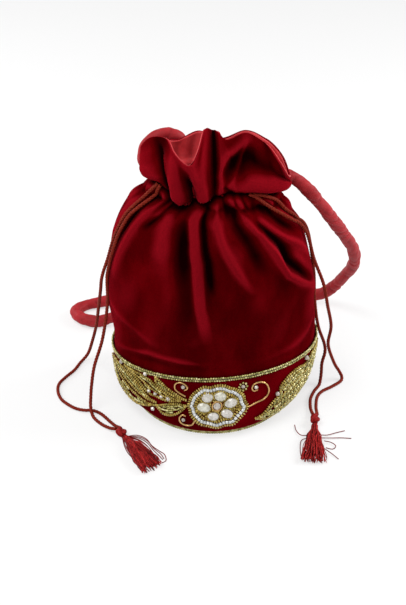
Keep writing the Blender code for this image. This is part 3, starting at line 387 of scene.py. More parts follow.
def cloth_bearings(height, shares):
    """Bearings of even threads round the cloth, which fan out from the gathers."""
    width, depth = section(height)[:2]
    pace = np.hypot(width * np.cos(FINE_TURN), depth * np.sin(FINE_TURN))
    walked = np.concatenate([[0.0], np.cumsum((pace[1:] + pace[:-1]) / 2)])
    bearings = np.interp(shares % 1.0, walked / walked[-1], FINE_TURN)
    gather = float(np.clip((height - BORDER_HEIGHT) / (NECK_HEIGHT - BORDER_HEIGHT), 0.0, 1.0))
    return bearings + math.radians(PLEAT_FAN) * math.sin(math.pi * gather) * np.sin(bearings)


def girth_at(height):
    width, depth = section(height)[:2]
    return float(np.hypot(np.diff(width * np.sin(FINE_TURN)), np.diff(depth * np.cos(FINE_TURN))).sum())


def column_shares(count):
    return np.arange(count) / count


def wall_ring(height, shares, out=0.0):
    """Points of the wall at a height, moved out level by the given depths."""
    width, depth, middle_x, middle_y, tilt = section(height)
    bearings = cloth_bearings(height, shares)
    across = width * np.sin(bearings)
    normal = np.stack([np.sin(bearings) / width, -np.cos(bearings) / depth], 1)
    normal /= np.linalg.norm(normal, axis=1, keepdims=True)
    x = middle_x + across + normal[:, 0] * out
    y = middle_y - depth * np.cos(bearings) + normal[:, 1] * out
    return np.stack([x, y, height + tilt * across / width], 1)


def eased(value):
    value = np.clip(value, 0.0, 1.0)
    return value * value * (3 - 2 * value)


def away_from(place, middle):
    """How far places are from a middle place, the shorter way round, in pleats."""
    away = place - middle
    return away - PLEATS * np.round(away / PLEATS)


COLUMNS = 384
BODY_ROWS = 112
HEADING_ROWS = 46
SHARES = column_shares(COLUMNS)
PLACES = SHARES * PLEATS
FRONT_PLEATS = 3.9
# 0 at the front, where the folds are drawn one by one, and 1 at the sides and the back
BACK_SHARE = eased((np.abs(away_from(PLACES, 0.0)) - FRONT_PLEATS + 0.8) / 1.6)
SEAM_EASE = 1 - SIDE_EASE * np.abs(np.sin(TAU * SHARES)) ** 6
GATHER_DRIFT = 0.16 * np.sin(TAU * PLACES * 3 / PLEATS + 0.7) + 0.1 * np.sin(TAU * PLACES * 7 / PLEATS)
GATHER_WAVE = 2 * ((1 + np.cos(TAU * (PLACES + GATHER_DRIFT))) / 2) ** 0.62 - 1
# Soft creases of the body: half width, then place, height and depth, along lines nearly level
CREASES = (
    (3.2, "-3.7 62 0.3, -2.9 68 1.6, -1.82 76 2.2, -1.1 74.5 2, -0.47 71 1.3, 0.1 68 0.3"),
    (7.0, "-3.4 60 -0.5, -1.8 68 -1.6, -0.4 64 -1, 0.4 62 -0.3"),
    (7.0, "1.2 66 0.3, 2.2 72 1.4, 3 80 1.4, 3.6 92 0.5"),
    (6.0, "-3.3 108 0.3, -2.88 103 1.2, -2 92 1.2, -1.4 84 0.3"),
)
# Folds of the visible cloth. A place up the cloth is its height, and over the neck it goes on
# by LEVEL_RISE to the rim. Each fold: profile, half width, then up the cloth, place in pleats and depth.
LEVEL_RISE = 48.0
STROKES = (
    # the casing's groove, with the heading hanging over it
    ("cut", 3.4, "220 -4.3 -5, 221 -3.6 -6, 221 -2.9 -6, 217 -2.6 -6, 210.5 -2.2 -6, 204 -1.75 -6,"
                 "205 -1.35 -6, 212 -1.1 -5, 210.5 -0.8 -6, 210 -0.6 -6, 213 -0.3 -5, 217.5 0 -5,"
                 "218.5 0.3 -6, 221 0.7 -6, 221.5 1.2 -6, 221 2 -6, 218.5 2.8 -6, 216.5 3.4 -6, 216 4.2 -5"),
    ("cut", 4.0, "216 4.2 -4, 220 6 -4, 221 8 -4, 221 10 -4, 224 11.7 -4"),
    ("soft", 4.5, "219 -3.4 0, 219 -4 -5, 219 -4.6 -5, 219 -5.2 0"),
    ("soft", 6.5, "207 -3.3 0, 205 -3.9 4, 204 -4.6 4, 204 -5.4 0"),
    ("soft", 6.5, "203 3.3 0, 203 3.9 3.5, 203 4.6 3.5, 203 5.4 0"),
    ("soft", 7.0, "234 -3.3 1, 229 -4 2, 228 -4.6 1.5, 231 -5.4 0"),
    # body, from the front middle to the right
    ("tube", 5.0, "207 -0.82 2, 198 -0.67 4.5, 184 -0.47 6, 166 -0.32 6, 148 -0.28 4.5, 126 -0.25 2.5,"
                  "105 -0.14 1, 88 -0.06 0"),
    ("soft", 9.0, "204 -1.3 -2.5, 194 -1.08 -4.5, 180 -0.88 -6, 162 -0.78 -5.5, 138 -0.7 -3.2,"
                  "112 -0.64 -1.4, 92 -0.6 0"),
    ("cut", 4.5, "208 -0.42 -3, 192 -0.24 -6, 168 -0.04 -6, 152 0.03 -3.5, 136 0.1 0"),
    ("crest", 6.0, "214 0.02 2, 204 0.17 4.5, 188 0.38 6, 172 0.62 6, 161 0.79 4.5, 150 0.95 2.5, 136 1.15 0"),
    ("soft", 7.0, "216 0.5 -2, 202 0.9 -5, 186 1.2 -5, 170 1.42 -3.5, 150 1.6 0"),
    ("crest", 4.6, "217 0.75 2, 209 1.05 4, 202.5 1.37 6, 190 1.78 8, 175.5 1.97 8.5, 162.5 2.09 8.5,"
                   "147.5 2.25 7, 136.5 2.65 4.5, 122 3.3 2, 105.5 4 0"),
    ("soft", 5.2, "206 1.55 -2, 193.5 1.97 -5, 182.5 2.18 -7.5, 171 2.35 -9, 157 2.46 -9, 146 2.74 -6.5,"
                  "134 3.05 -2.5, 126 3.25 0"),
    ("crest", 6.0, "217 1.1 2, 207 1.55 3.5, 198.5 2.05 5, 188.5 2.38 6, 179 2.66 6, 166.5 3.1 4.5,"
                   "157.5 3.36 2.5, 146 3.6 0"),
    ("soft", 6.0, "217 1.9 -2.5, 207 2.35 -4, 197 2.75 -4.5, 186 3.05 -3.5, 172 3.4 0"),
    ("crest", 5.0, "217 2.6 2, 207 3 3.5, 195 3.35 3.5, 180 3.6 2, 165 3.8 0"),
    # body, to the left
    ("soft", 8.0, "206 -1.75 2, 194 -1.62 2.2, 180 -1.5 1.4, 164 -1.4 0"),
    ("cut", 4.0, "209 -1.98 -3, 197 -2 -4.5, 190 -2.24 -3.5, 186 -2.5 0"),
    ("crest", 6.5, "216 -2.55 2.5, 206 -2.6 4.5, 196 -2.64 5.5, 186 -2.7 5.5, 174 -2.74 4.5,"
                   "158 -2.82 2.5, 134 -2.9 0"),
    ("cut", 4.5, "214 -2.95 -2.5, 200 -3.02 -4.5, 184 -3.08 -4, 164 -3.18 -1.5, 146 -3.25 0"),
    ("soft", 7.0, "216 -3.4 2, 202 -3.4 3, 186 -3.45 3, 166 -3.5 1.5, 146 -3.5 0"),
    # heading: left lobe, the two hanging ridges under the dip, crest and deep middle fold
    ("soft", 13.0, "255 -3.3 1, 245 -3.2 3.5, 236 -3.1 5.5, 229 -3 5, 222 -2.95 0"),
    ("cut", 4.2, "253 -2.58 -1.5, 248 -2.44 -4, 239 -2.38 -5.5, 227 -2.36 -5.5, 216 -2.32 -3.5, 208 -2.3 -1"),
    ("tube", 7.2, "255 -2.15 0.5, 250.7 -2.1 2.5, 245.4 -1.96 4.5, 233 -1.84 6, 221.4 -1.76 6.5,"
                  "212 -1.76 6.5, 207.5 -1.75 5, 203 -1.75 0"),
    ("soft", 4.2, "252 -1.32 0, 242 -1.2 -2.5, 232 -1.12 -7, 224 -1.05 -9, 216 -1.05 -8, 211 -1 -4, 206 -0.95 0"),
    ("tube", 6.0, "252 -0.8 1, 242.5 -0.75 4.5, 233 -0.72 5.5, 224 -0.66 6, 217 -0.62 5.5, 211 -0.6 1.5"),
    ("soft", 3.2, "206 -1 1.5, 204.5 -0.7 3, 205 -0.4 2.5, 208 -0.15 1"),
    ("soft", 4.2, "255 -0.28 1.5, 240 -0.3 3, 226 -0.32 2.5, 214 -0.34 0"),
    ("soft", 3.2, "246 0.16 0, 240 0.14 -0.8, 232 0.1 -1.6, 225 0.04 -2.2, 217 -0.02 -2.5, 211 -0.06 0"),
    ("soft", 4.2, "250 0.45 0, 242 0.42 2, 233 0.36 3.5, 226 0.3 3.5, 219 0.26 2, 214 0.24 0"),
    # heading: the rim's band folded out over a hollow, and the right lobe hanging under it
    ("crest", 4.6, "255 2.5 0, 250.7 1.8 4, 247.8 1.05 5.5, 240.6 0.5 5.5, 234 0.2 3"),
    ("soft", 8.0, "237 0.75 -5, 241 1.25 -9, 243 1.8 -9, 242 2.4 -7, 240 3 -2"),
    ("crest", 3.0, "250 2 1.5, 242 1.62 3.5, 235 1.15 3.5, 228 0.78 2"),
    ("tube", 8.0, "226 1.2 1, 228 1.8 4, 229 2.5 6, 228.5 3.2 7, 227 3.9 6, 227 4.6 3, 228 5.2 0"),
    ("cut", 3.0, "226 0.55 -3, 223 0.9 -3, 219 1.15 0"),
    # puckers of the casing
    ("cut", 1.8, "227 0.85 0, 220 0.95 -2.2, 212 1.05 -2.5, 204 1.3 -1, 199 1.5 0"),
    ("cut", 1.8, "226 1.35 0, 219 1.35 -2, 211 1.5 -2.5, 204 1.75 -1, 199 1.95 0"),
    ("cut", 1.6, "224 0.35 0, 216 0.42 -2, 208 0.5 -1.8, 202 0.6 0"),
    ("soft", 2.4, "216 2 0, 213 2.2 1.6, 208 2.6 1.6, 202 3 0"),
    ("cut", 1.8, "216 -1.5 0, 209 -1.48 -2, 202 -1.44 -1.5, 196 -1.4 0"),
    ("cut", 1.8, "216 -2.2 0, 210 -2.25 -2, 203 -2.3 -1.5, 197 -2.4 0"),
)
PROFILES_ACROSS = {
    "soft": lambda off: np.exp(-off ** 2),
    "tube": lambda off: np.exp(-off ** 4),
    "crest": lambda off: np.exp(-1.5 * (np.sqrt(off ** 2 + 0.03) - 0.17)),
    "cut": lambda off: np.exp(-1.5 * (np.sqrt(off ** 2 + 0.02) - 0.14)),
}


def around_pleats(values):
    """Values of the sixteen pleats, read at every column."""
    return np.interp(PLACES % PLEATS, np.arange(PLEATS + 1), np.append(values, values[0]))


def plain_pleats(height):
    """The regular gathers, which have broad ridges and narrow valleys, as real cloth has."""
    below_neck = NECK_HEIGHT - height
    fade = eased(1 - below_neck / around_pleats(PLEAT_REACH))
    growth = np.clip(below_neck / (NECK_HEIGHT - SHOULDER_HEIGHT), 0.0, 1.0)
    run_in = np.clip(below_neck / PLEAT_RUN_IN, 0.0, 1.0)
    boldness = 1 + (around_pleats(PLEAT_SHARE) - 1) * run_in
    depth = (PLEAT_DEPTH_NECK + (PLEAT_DEPTH_SHOULDER - PLEAT_DEPTH_NECK) * growth) * boldness
    return GATHER_WAVE * depth * fade


def body_detail(height):
    """Billows, creases over the border and puckers at the gathers, besides the folds."""
    signed = away_from(PLACES, 0.0)
    turn = TAU * SHARES
    above = np.clip((height - BORDER_HEIGHT - PIPING_WIDTH) / 14, 0, 1)
    billow = (0.9 * np.sin(3 * turn + 0.035 * height) + 0.7 * np.sin(5 * turn - 0.05 * height + 1.1)
              + 0.5 * np.sin(9 * turn + 0.06 * height + 2.0) + 0.35 * np.sin(14 * turn - 0.09 * height))
    total = billow * above * 0.8
    for half_width, line in CREASES:
        places, heights, depths = table(line).T
        depth = np.interp(signed, places, depths, left=0.0, right=0.0)
        off = (height - np.interp(signed, places, heights)) / half_width
        total = total + depth * np.exp(-1.3 * (np.sqrt(off ** 2 + 0.05) - 0.22)) * above
    pucker = np.exp(-((NECK_HEIGHT - height) / 9.0) ** 2)
    return total + pucker * 0.55 * np.sin(TAU * PLACES * 2.6 + 1.2 * np.sin(turn * 5))


def stroke_depths(ups):
    """Depth of all the drawn folds on a grid of places up the cloth by columns round it."""
    up = ups[:, None]
    widths = np.array([girth_at(min(value, NECK_HEIGHT)) for value in ups])[:, None] / PLEATS
    total = np.zeros((len(up), COLUMNS))
    for kind, half_width, line in STROKES:
        heights, places, depths = table(line).T
        middle = (places.min() + places.max()) / 2
        around = (middle + away_from(PLACES, middle))[None, :]
        nearest = np.full(total.shape, np.inf)
        depth = np.zeros(total.shape)
        for index in range(len(heights) - 1):
            x, y = (around - places[index]) * widths, up - heights[index]
            run_x = (places[index + 1] - places[index]) * widths
            run_y = heights[index + 1] - heights[index]
            along = np.clip((x * run_x + y * run_y) / (run_x ** 2 + run_y ** 2), 0, 1)
            off = np.hypot(x - along * run_x, y - along * run_y)
            closer = off < nearest
            nearest = np.where(closer, off, nearest)
            depth = np.where(closer, depths[index] + (depths[index + 1] - depths[index]) * along, depth)
        total += depth * PROFILES_ACROSS[kind](nearest / half_width)
    return total


def rim_points():
    places = np.concatenate([RIM_ROUTE[:, 0] + turn * PLEATS for turn in (-1, 0, 1)])
    points = np.concatenate([RIM_ROUTE[:, 1:]] * 3) + np.array([0.0, 0.0, NECK_HEIGHT])
    return np.array([smooth_steps(places, points, place) for place in PLACES])


def heading_rows(neck_out, strokes):
    """The ruffle: rises from the gathers and opens out to the rim, with folds of its own."""
    neck = wall_ring(NECK_HEIGHT, SHARES)
    outward = wall_ring(NECK_HEIGHT, SHARES, 1.0) - neck
    outward[:, 2] = 0.0
    rim = rim_points()
    guide = neck + np.array([0.0, 0.0, HEADING_RISE]) + outward * HEADING_FLARE
    wave = GATHER_WAVE * SEAM_EASE * (0.15 + 0.85 * BACK_SHARE)
    made = []
    for index, level in enumerate(np.linspace(0, 1, HEADING_ROWS + 1)[1:]):
        point = neck * (1 - level) ** 2 + guide * 2 * level * (1 - level) + rim * level * level
        fade = level * (1 - level) * 4 * RIM_WAVE_FADE * PLEAT_DEPTH_NECK
        plain = (neck_out - strokes[0]) * max(0.0, 1 - level / 0.35) ** 2
        edge = 1 - 0.6 * max(0.0, (level - 0.85) / 0.15)
        made.append(point + outward * (wave * fade + plain + strokes[index + 1] * edge)[:, None])
    return made


def grid_normals(grid):
    around = np.roll(grid, -1, axis=1) - np.roll(grid, 1, axis=1)
    normal = np.cross(around, np.gradient(grid, axis=0))
    return normal / np.maximum(np.linalg.norm(normal, axis=2, keepdims=True), 1e-9)


def relaxed(grid):
    """Evens out small kinks in a grid of rings, with its first ring held."""
    side = (np.roll(grid, 1, axis=1) + np.roll(grid, -1, axis=1)) / 2
    middle = grid.copy()
    middle[1:-1] = (grid[:-2] + grid[2:]) / 2
    return np.concatenate([grid[:1], (grid[1:] * 2 + side[1:] + middle[1:]) / 4])


def blurred(grid, columns, rows):
    """Each point's average over a window round it."""
    for _ in range(2):
        grid = sum(np.roll(grid, step, axis=1) for step in range(-columns, columns + 1)) / (2 * columns + 1)
        padded = np.concatenate([np.repeat(grid[:1], rows, 0), grid, np.repeat(grid[-1:], rows, 0)])
        grid = sum(padded[step:step + len(grid)] for step in range(2 * rows + 1)) / (2 * rows + 1)
    return grid


def painted_fold_light(grid):
    """0 in a deep fold, 0.5 on a plain wall and 1 on a crest: how far the cloth lies out of its average, which sets
    painted shade in the folds and a painted highlight on the crests.
    """
    normal = grid_normals(blurred(grid, 2, 1))
    near = ((grid - blurred(grid, 4, 3)) * normal).sum(axis=2)
    wide = ((grid - blurred(grid, 10, 6)) * normal).sum(axis=2)
    return np.clip(0.47 + near / 5.0 + wide / 9.0, 0.0, 1.0)


def upper_wall():
    """The pleated wall from the border to the rim, as a fine grid, and its rows' places up the cloth."""
    start = BORDER_HEIGHT + PIPING_WIDTH
    heights = start + (NECK_HEIGHT - start) * np.linspace(0.0, 1.0, BODY_ROWS + 1)
    levels = NECK_HEIGHT + LEVEL_RISE * np.linspace(0.0, 1.0, HEADING_ROWS + 1)
    ups = np.concatenate([heights, levels[1:]])
    strokes = stroke_depths(ups)
    calm = 0.12 + 0.88 * BACK_SHARE
    outs = [plain_pleats(height) * calm * SEAM_EASE + stroke + body_detail(height)
            for height, stroke in zip(heights, strokes)]
    rows = [wall_ring(height, SHARES, out) for height, out in zip(heights, outs)]
    return relaxed(np.array(rows + heading_rows(outs[-1], strokes[BODY_ROWS:]))), ups


WALL, WALL_UPS = upper_wall()
WALL_NORMALS = grid_normals(WALL)
# Tones of the wall: painted shade in its folds and a painted highlight on its crests.
WALL_PAINTED_LIGHT = painted_fold_light(WALL)


# Mesh helpers

def mesh_object(name, points, faces, smooth=True, tones=None):
    mesh = bpy.data.meshes.new(name)
    mesh.from_pydata((points * MM).tolist(), [], faces)
    if smooth:
        mesh.shade_smooth()
    if tones is not None:
        layer = mesh.attributes.new("tone", "FLOAT", "POINT")
        layer.data.foreach_set("value", np.asarray(tones, np.float32))
    made = new_object(name, mesh)
    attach(made, "root")
    return made


def dress(piece, material, slot, *nodes):
    """Gives a piece its material and hides the nodes that it takes the place of. The slot is not used."""
    piece.data.materials.append(MATERIALS[material])
    if nodes:
        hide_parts(*nodes)
    return piece


class Skin:
    """A mesh built ring by ring; a ring may have half or twice the corners of the one before."""

    def __init__(self):
        self.points = []
        self.faces = []
        self.tones = []
        self.last = None

    def add_ring(self, ring, tone=0.5):
        start = sum(len(part) for part in self.points)
        self.points.append(ring)
        self.tones.append(np.broadcast_to(tone, len(ring)))
        indices = np.arange(start, start + len(ring))
        if self.last is not None:
            self.join(self.last, indices)
        self.last = indices
        return indices

    def join(self, low, high):
        if len(low) == len(high):
            quads = np.stack([low, np.roll(low, -1), np.roll(high, -1), high], 1)
            self.faces.extend(quads.tolist())
        elif len(high) == 2 * len(low):
            self.join_double(low, high, False)
        else:
            self.join_double(high, low, True)

    def join_double(self, coarse, fine, flipped):
        after = np.roll(coarse, -1)
        start, middle = fine[0::2], fine[1::2]
        end = np.roll(start, -1)
        for part in ((coarse, middle, start), (coarse, after, middle), (after, end, middle)):
            triangles = np.stack(part, 1)
            self.faces.extend((triangles[:, ::-1] if flipped else triangles).tolist())

    def cap(self, ring, height):
        """Closes a ring with triangles to a point on the bag's axis."""
        tip = sum(len(part) for part in self.points)
        self.points.append(np.array([(0.0, 0.0, height)]))
        self.tones.append(np.array([0.5]))
        self.faces.extend(np.stack([np.roll(ring, -1), ring, np.full(len(ring), tip)], 1).tolist())

    def build(self, name):
        return mesh_object(name, np.concatenate(self.points), self.faces, tones=np.concatenate(self.tones))


def catmull(path, places):
    """A curve through every point of a path, at places counted in its points."""
    index = np.minimum(places.astype(int), len(path) - 2)
    part = (places - index)[:, None]
    padded = np.concatenate([[2 * path[0] - path[1]], path, [2 * path[-1] - path[-2]]])
    before, start, end, after = (padded[index + step] for step in range(4))
    return 0.5 * (2 * start + (end - before) * part
                  + (2 * before - 5 * start + 4 * end - after) * part ** 2
                  + (3 * start - before - 3 * end + after) * part ** 3)


def lengths_along(points):
    """How far along a path each of its points lies."""
    return np.concatenate([[0.0], np.cumsum(np.linalg.norm(np.diff(points, axis=0), axis=1))])


def points_at(stops, walked, points):
    return np.stack([np.interp(stops, walked, column) for column in points.T], 1)


def even_path(points, step, smooth=True):
    """The same path in equal steps of about the given length."""
    points = np.asarray(points, float)
    fine = catmull(points, np.linspace(0, len(points) - 1, 24 * len(points))) if smooth else points
    walked = lengths_along(fine)
    count = max(2, int(round(walked[-1] / step)) + 1)
    return points_at(np.linspace(0, walked[-1], count), walked, fine)


def path_frames(points):
    """Unit vectors along a path and two across it, which turn as little as they can."""
    ahead = np.gradient(points, axis=0)
    ahead /= np.linalg.norm(ahead, axis=1, keepdims=True)
    side = np.empty_like(ahead)
    start = np.cross(ahead[0], (0.0, 0.0, 1.0))
    if np.linalg.norm(start) < 0.05:
        start = np.array([1.0, 0.0, 0.0])
    side[0] = start / np.linalg.norm(start)
    for index in range(1, len(ahead)):
        carried = side[index - 1] - ahead[index] * (side[index - 1] @ ahead[index])
        side[index] = carried / np.linalg.norm(carried)
    return ahead, side, np.cross(ahead, side)


def tube(points, radii, sides, offset=0.0):
    """Corners and faces of a closed tube; radii may differ along it, or at every corner."""
    side, up = path_frames(points)[1:]
    turns = TAU * np.arange(sides) / sides
    if np.ndim(radii) < 2:
        radii = np.repeat(np.broadcast_to(radii, len(points))[:, None], sides, axis=1)
    rings = ((points + offset)[:, None, :] + side[:, None, :] * (np.cos(turns) * radii)[..., None]
             + up[:, None, :] * (np.sin(turns) * radii)[..., None])
    index = np.arange(len(points) * sides).reshape(len(points), sides)
    low, high = index[:-1], index[1:]
    faces = np.stack([low, np.roll(low, -1, 1), np.roll(high, -1, 1), high], -1).reshape(-1, 4).tolist()
    return rings.reshape(-1, 3), faces + [index[0][::-1].tolist(), index[-1].tolist()]


def joined(parts):
    """Several corner and face lists as one."""
    points, faces, start = [], [], 0
    for corner, face in parts:
        points.append(corner)
        faces.extend([[index + start for index in one] for one in face])
        start += len(corner)
    return np.concatenate(points), faces


# Cloth

INNER_COLUMNS = 96
LINING_COLUMNS = 192
BORDER_COLUMNS = 256
PANEL_COLUMNS = 128
INNER_HEIGHTS = (194.0, 180.0, 165.0, 140.0, 110.0, 80.0, 56.0, 30.0, 14.0)
LINING_HANG = 8.0
# radius less than the panel's, and height
PANEL_EDGE = ((1.2, 0.0), (0.3, 0.3), (0.0, 0.9), (0.2, 1.6), (0.8, 1.8))


def disc_ring(radius, height, count):
    angles = TAU * column_shares(count)
    return np.stack([radius * np.sin(angles), -radius * np.cos(angles), np.full(count, height)], 1)


def inner_wall(skin, inset, count):
    """The wall moved in: heading and neck, then a plain bag hung inside the pleats, and its floor."""
    step = COLUMNS // count
    for row in range(len(WALL) - 1, BODY_ROWS - 3, -2):
        ring = WALL[row] - WALL_NORMALS[row] * inset
        # Inside, the wall's tone is turned round and weakened: painted shade in the hollows behind the crests and a
        # painted highlight behind the folds.
        skin.add_ring(ring[::step], 0.5 + (0.5 - WALL_PAINTED_LIGHT[row][::step]) * 0.6)
    for height in INNER_HEIGHTS:
        slack = 0.0
        if height > BORDER_HEIGHT:
            slack = LINING_SLACK + LINING_HANG * np.clip((height - BORDER_HEIGHT) / 60, 0, 1)
        skin.add_ring(wall_ring(height, column_shares(INNER_COLUMNS), -inset - slack))
    skin.add_ring(disc_ring(BASE_RADIUS - GAP - inset, BODY_START + inset, INNER_COLUMNS))


def make_velvet():
    skin = Skin()
    first = skin.add_ring(disc_ring(BASE_RADIUS - FOOT_BEVEL, BODY_START, INNER_COLUMNS))
    skin.add_ring(disc_ring(BASE_RADIUS - GAP, SEAM_HEIGHT - GAP, INNER_COLUMNS))
    for height in (SEAM_HEIGHT, 12.0, 20.0, 32.0, 44.0, BORDER_HEIGHT):
        skin.add_ring(wall_ring(height, column_shares(INNER_COLUMNS)))
    skin.add_ring(wall_ring(BORDER_HEIGHT + PIPING_WIDTH * 0.4, column_shares(2 * INNER_COLUMNS)))
    # The wall carries its painted shade and painted highlight as its tone.
    for ring, tone in zip(WALL, WALL_PAINTED_LIGHT):
        skin.add_ring(ring, tone)
    # The rolled rim edge gets a high tone: a painted highlight along it.
    skin.add_ring(WALL[-1] - WALL_NORMALS[-1] * VELVET / 2 + (WALL[-1] - WALL[-2]) * 0.3, 0.9)
    skin.add_ring(WALL[-1] - WALL_NORMALS[-1] * VELVET, 0.8)
    skin.add_ring((WALL[-2] - WALL_NORMALS[-2] * VELVET)[::2], 0.5)
    inner_wall(skin, VELVET, INNER_COLUMNS)
    skin.cap(skin.last[::-1], BODY_START + VELVET)
    skin.cap(first, BODY_START)
    dress(skin.build("velvet_pouch"), "velvet_pile", "velvet", "velvet_body")


def make_lining():
    outer, skin = Skin(), Skin()
    inset = VELVET + GAP
    inner_wall(outer, inset, LINING_COLUMNS)
    for ring in reversed(outer.points):
        skin.add_ring(ring)
    first = np.arange(INNER_COLUMNS)
    inner_wall(skin, inset + LINING, LINING_COLUMNS)
    skin.cap(skin.last[::-1], BODY_START + inset + LINING)
    skin.cap(first, BODY_START + inset)
    dress(skin.build("satin_lining_soft"), "lining_satin", "satin_lining", "satin_lining")


def make_border():
    band, panel = Skin(), Skin()
    shares = column_shares(BORDER_COLUMNS)
    heights = np.linspace(SEAM_HEIGHT, BORDER_HEIGHT, 15)
    for out, levels in ((GAP + BORDER_CLOTH, heights), (GAP, heights[::-1])):
        for height in levels:
            band.add_ring(wall_ring(height, shares, out))
    band.join(band.last, np.arange(BORDER_COLUMNS))
    dress(band.build("border_cloth"), "border_pile", "border_velvet", "border_band")
    for inset, height in PANEL_EDGE:
        panel.add_ring(disc_ring(BASE_RADIUS - inset, height, PANEL_COLUMNS))
    panel.cap(np.arange(PANEL_COLUMNS), 0.0)
    panel.cap(panel.last[::-1], BASE_THICKNESS)
    dress(panel.build("base_panel_cloth"), "border_pile", "velvet", "base_panel")


# Cords

PLIES = 3
PLY_PITCH = 9.0
PLY_OFFSET = 0.6
PLY_RADIUS = 1.05
CORD_STEP = 0.9
HANDLE_STEP = 1.1
HANDLE_SIDES = 28
SETTLED_POINTS = 125
OPEN_ROWS = 6
FLOOR_LIMIT = 0.15
THREADS = 170
GOLDEN_TURN = 2.399963
THREAD_RADIUS = 0.4
# share of the tassel's length, its width and its height there
TASSEL_STATIONS = table("0 0.2 0.54, 0.06 0.27 0.74, 0.16 0.26 0.7, 0.36 0.55 1, 0.68 0.82 0.9, 1 1 0.6")


def knot_axis(knot, aim):
    direction = np.array([aim[0], aim[1], 0.0]) / math.hypot(*aim)
    across = np.array([-direction[1], direction[0], 0.0])
    return np.array([knot[0], knot[1], KNOT_DIAMETER / 2 + GAP]), direction, across


def cord_route(route, step, diameter):
    points = even_path(route, step)
    points[:, 2] = np.maximum(points[:, 2], diameter / 2 + FLOOR_GAP)
    return points


def on_cloth(up, place, lift):
    """A point over the visible wall, at a place up the cloth and round it."""
    row = int(np.argmin(np.abs(WALL_UPS - up)))
    column = int(round(place / PLEATS * COLUMNS)) % COLUMNS
    return WALL[row, column] + WALL_NORMALS[row, column] * lift


def settled(points, rest):
    """Lays the first points of a strand on the visible cloth, at its own half thickness."""
    cloth = WALL[:-OPEN_ROWS].reshape(-1, 3)
    normals = WALL_NORMALS[:-OPEN_ROWS].reshape(-1, 3)
    last = SETTLED_POINTS
    for _ in range(3):
        for index in range(2, last):
            gaps = points[index] - cloth
            nearest = int(np.argmin((gaps * gaps).sum(axis=1)))
            lift = float(gaps[nearest] @ normals[nearest])
            if lift < rest:
                points[index] += normals[nearest] * (rest - lift)
        points[1:last] = (points[:last - 1] + 2 * points[1:last] + points[2:last + 1]) / 4
    return points


def twisted_cord(name, route):
    """Three plies laid closely round one another."""
    points = settled(cord_route(route, CORD_STEP, STRING_DIAMETER), STRING_DIAMETER / 2 + 0.1)
    ahead, side, up = path_frames(points)
    walked = lengths_along(points)
    parts = []
    for ply in range(PLIES):
        turn = TAU * (walked / PLY_PITCH + ply / PLIES)
        offset = (side * np.cos(turn)[:, None] + up * np.sin(turn)[:, None]) * PLY_OFFSET
        parts.append(tube(points, PLY_RADIUS, 8, offset))
    return mesh_object(name, *joined(parts)), points


def ruched_tube(name, route):
    """The handle: a padded satin tube whose cover is gathered in slanting wrinkles."""
    points = cord_route(route, HANDLE_STEP, HANDLE_DIAMETER)
    s = lengths_along(points)[:, None]
    t = (TAU * np.arange(HANDLE_SIDES) / HANDLE_SIDES)[None, :]
    drift = 1.6 * np.sin(s / 27.0) + 1.1 * np.sin(s / 11.7 + 1.0) + 0.6 * np.sin(s / 5.3 + 2.0)
    slant = 1.1 * np.sin(s / 43.0 + 0.5) + 0.5
    phase = s / 6.2 + drift + slant * t + 0.7 * np.sin(2 * t + s / 21.0)
    wrinkle = np.abs(np.sin(phase)) ** 0.6
    fine = np.abs(np.sin(s / 2.9 + 1.7 * np.sin(t + s / 15.0) + drift)) ** 0.8
    swell = 0.3 * np.sin(s / 9.0 + np.sin(s / 23.0)) + 0.25 * np.sin(s / 4.9 + 2.0)
    radii = HANDLE_DIAMETER / 2 - 1.15 + 0.95 * wrinkle + 0.3 * fine + swell * 0.7
    ends = np.clip(np.minimum(s, s[-1] - s) / 3.0, 0.35, 1.0)
    corners, faces = tube(points, radii * np.sqrt(ends), HANDLE_SIDES)
    corners[:, 2] = np.maximum(corners[:, 2], FLOOR_LIMIT)
    # Painted shade: the tone is low in the wrinkles' hollows, which darkens the satin there.
    tones = np.clip(0.1 + 0.65 * wrinkle + 0.3 * fine, 0, 1).reshape(-1)
    return mesh_object(name, corners, faces, tones=tones), points


def knot_piece(name, middle, direction, across):
    """Both strands tied into one lump, drawn as a knotted loop."""
    up = np.array([0.0, 0.0, 1.0])
    turn = np.linspace(0, TAU, 181)[:-1]
    wide = 2.0 + np.cos(3 * turn)
    one = np.stack([np.sin(3 * turn) * 3.6, wide * np.cos(2 * turn) * 1.02, wide * np.sin(2 * turn) * 0.95], 1)
    line = middle + one[:, :1] * direction + one[:, 1:2] * across + one[:, 2:] * up
    core = np.linspace(-4.4, 4.4, 12)
    size = 3.1 * np.sqrt(np.clip(1 - (core / 5.2) ** 2, 0.1, 1))
    corners, faces = joined([tube(np.concatenate([line, line[:1]]), 1.72, 10),
                             tube(middle + np.outer(core, direction), size, 12)])
    corners[:, 2] = np.maximum(corners[:, 2], FLOOR_GAP)
    return mesh_object(name, corners, faces)


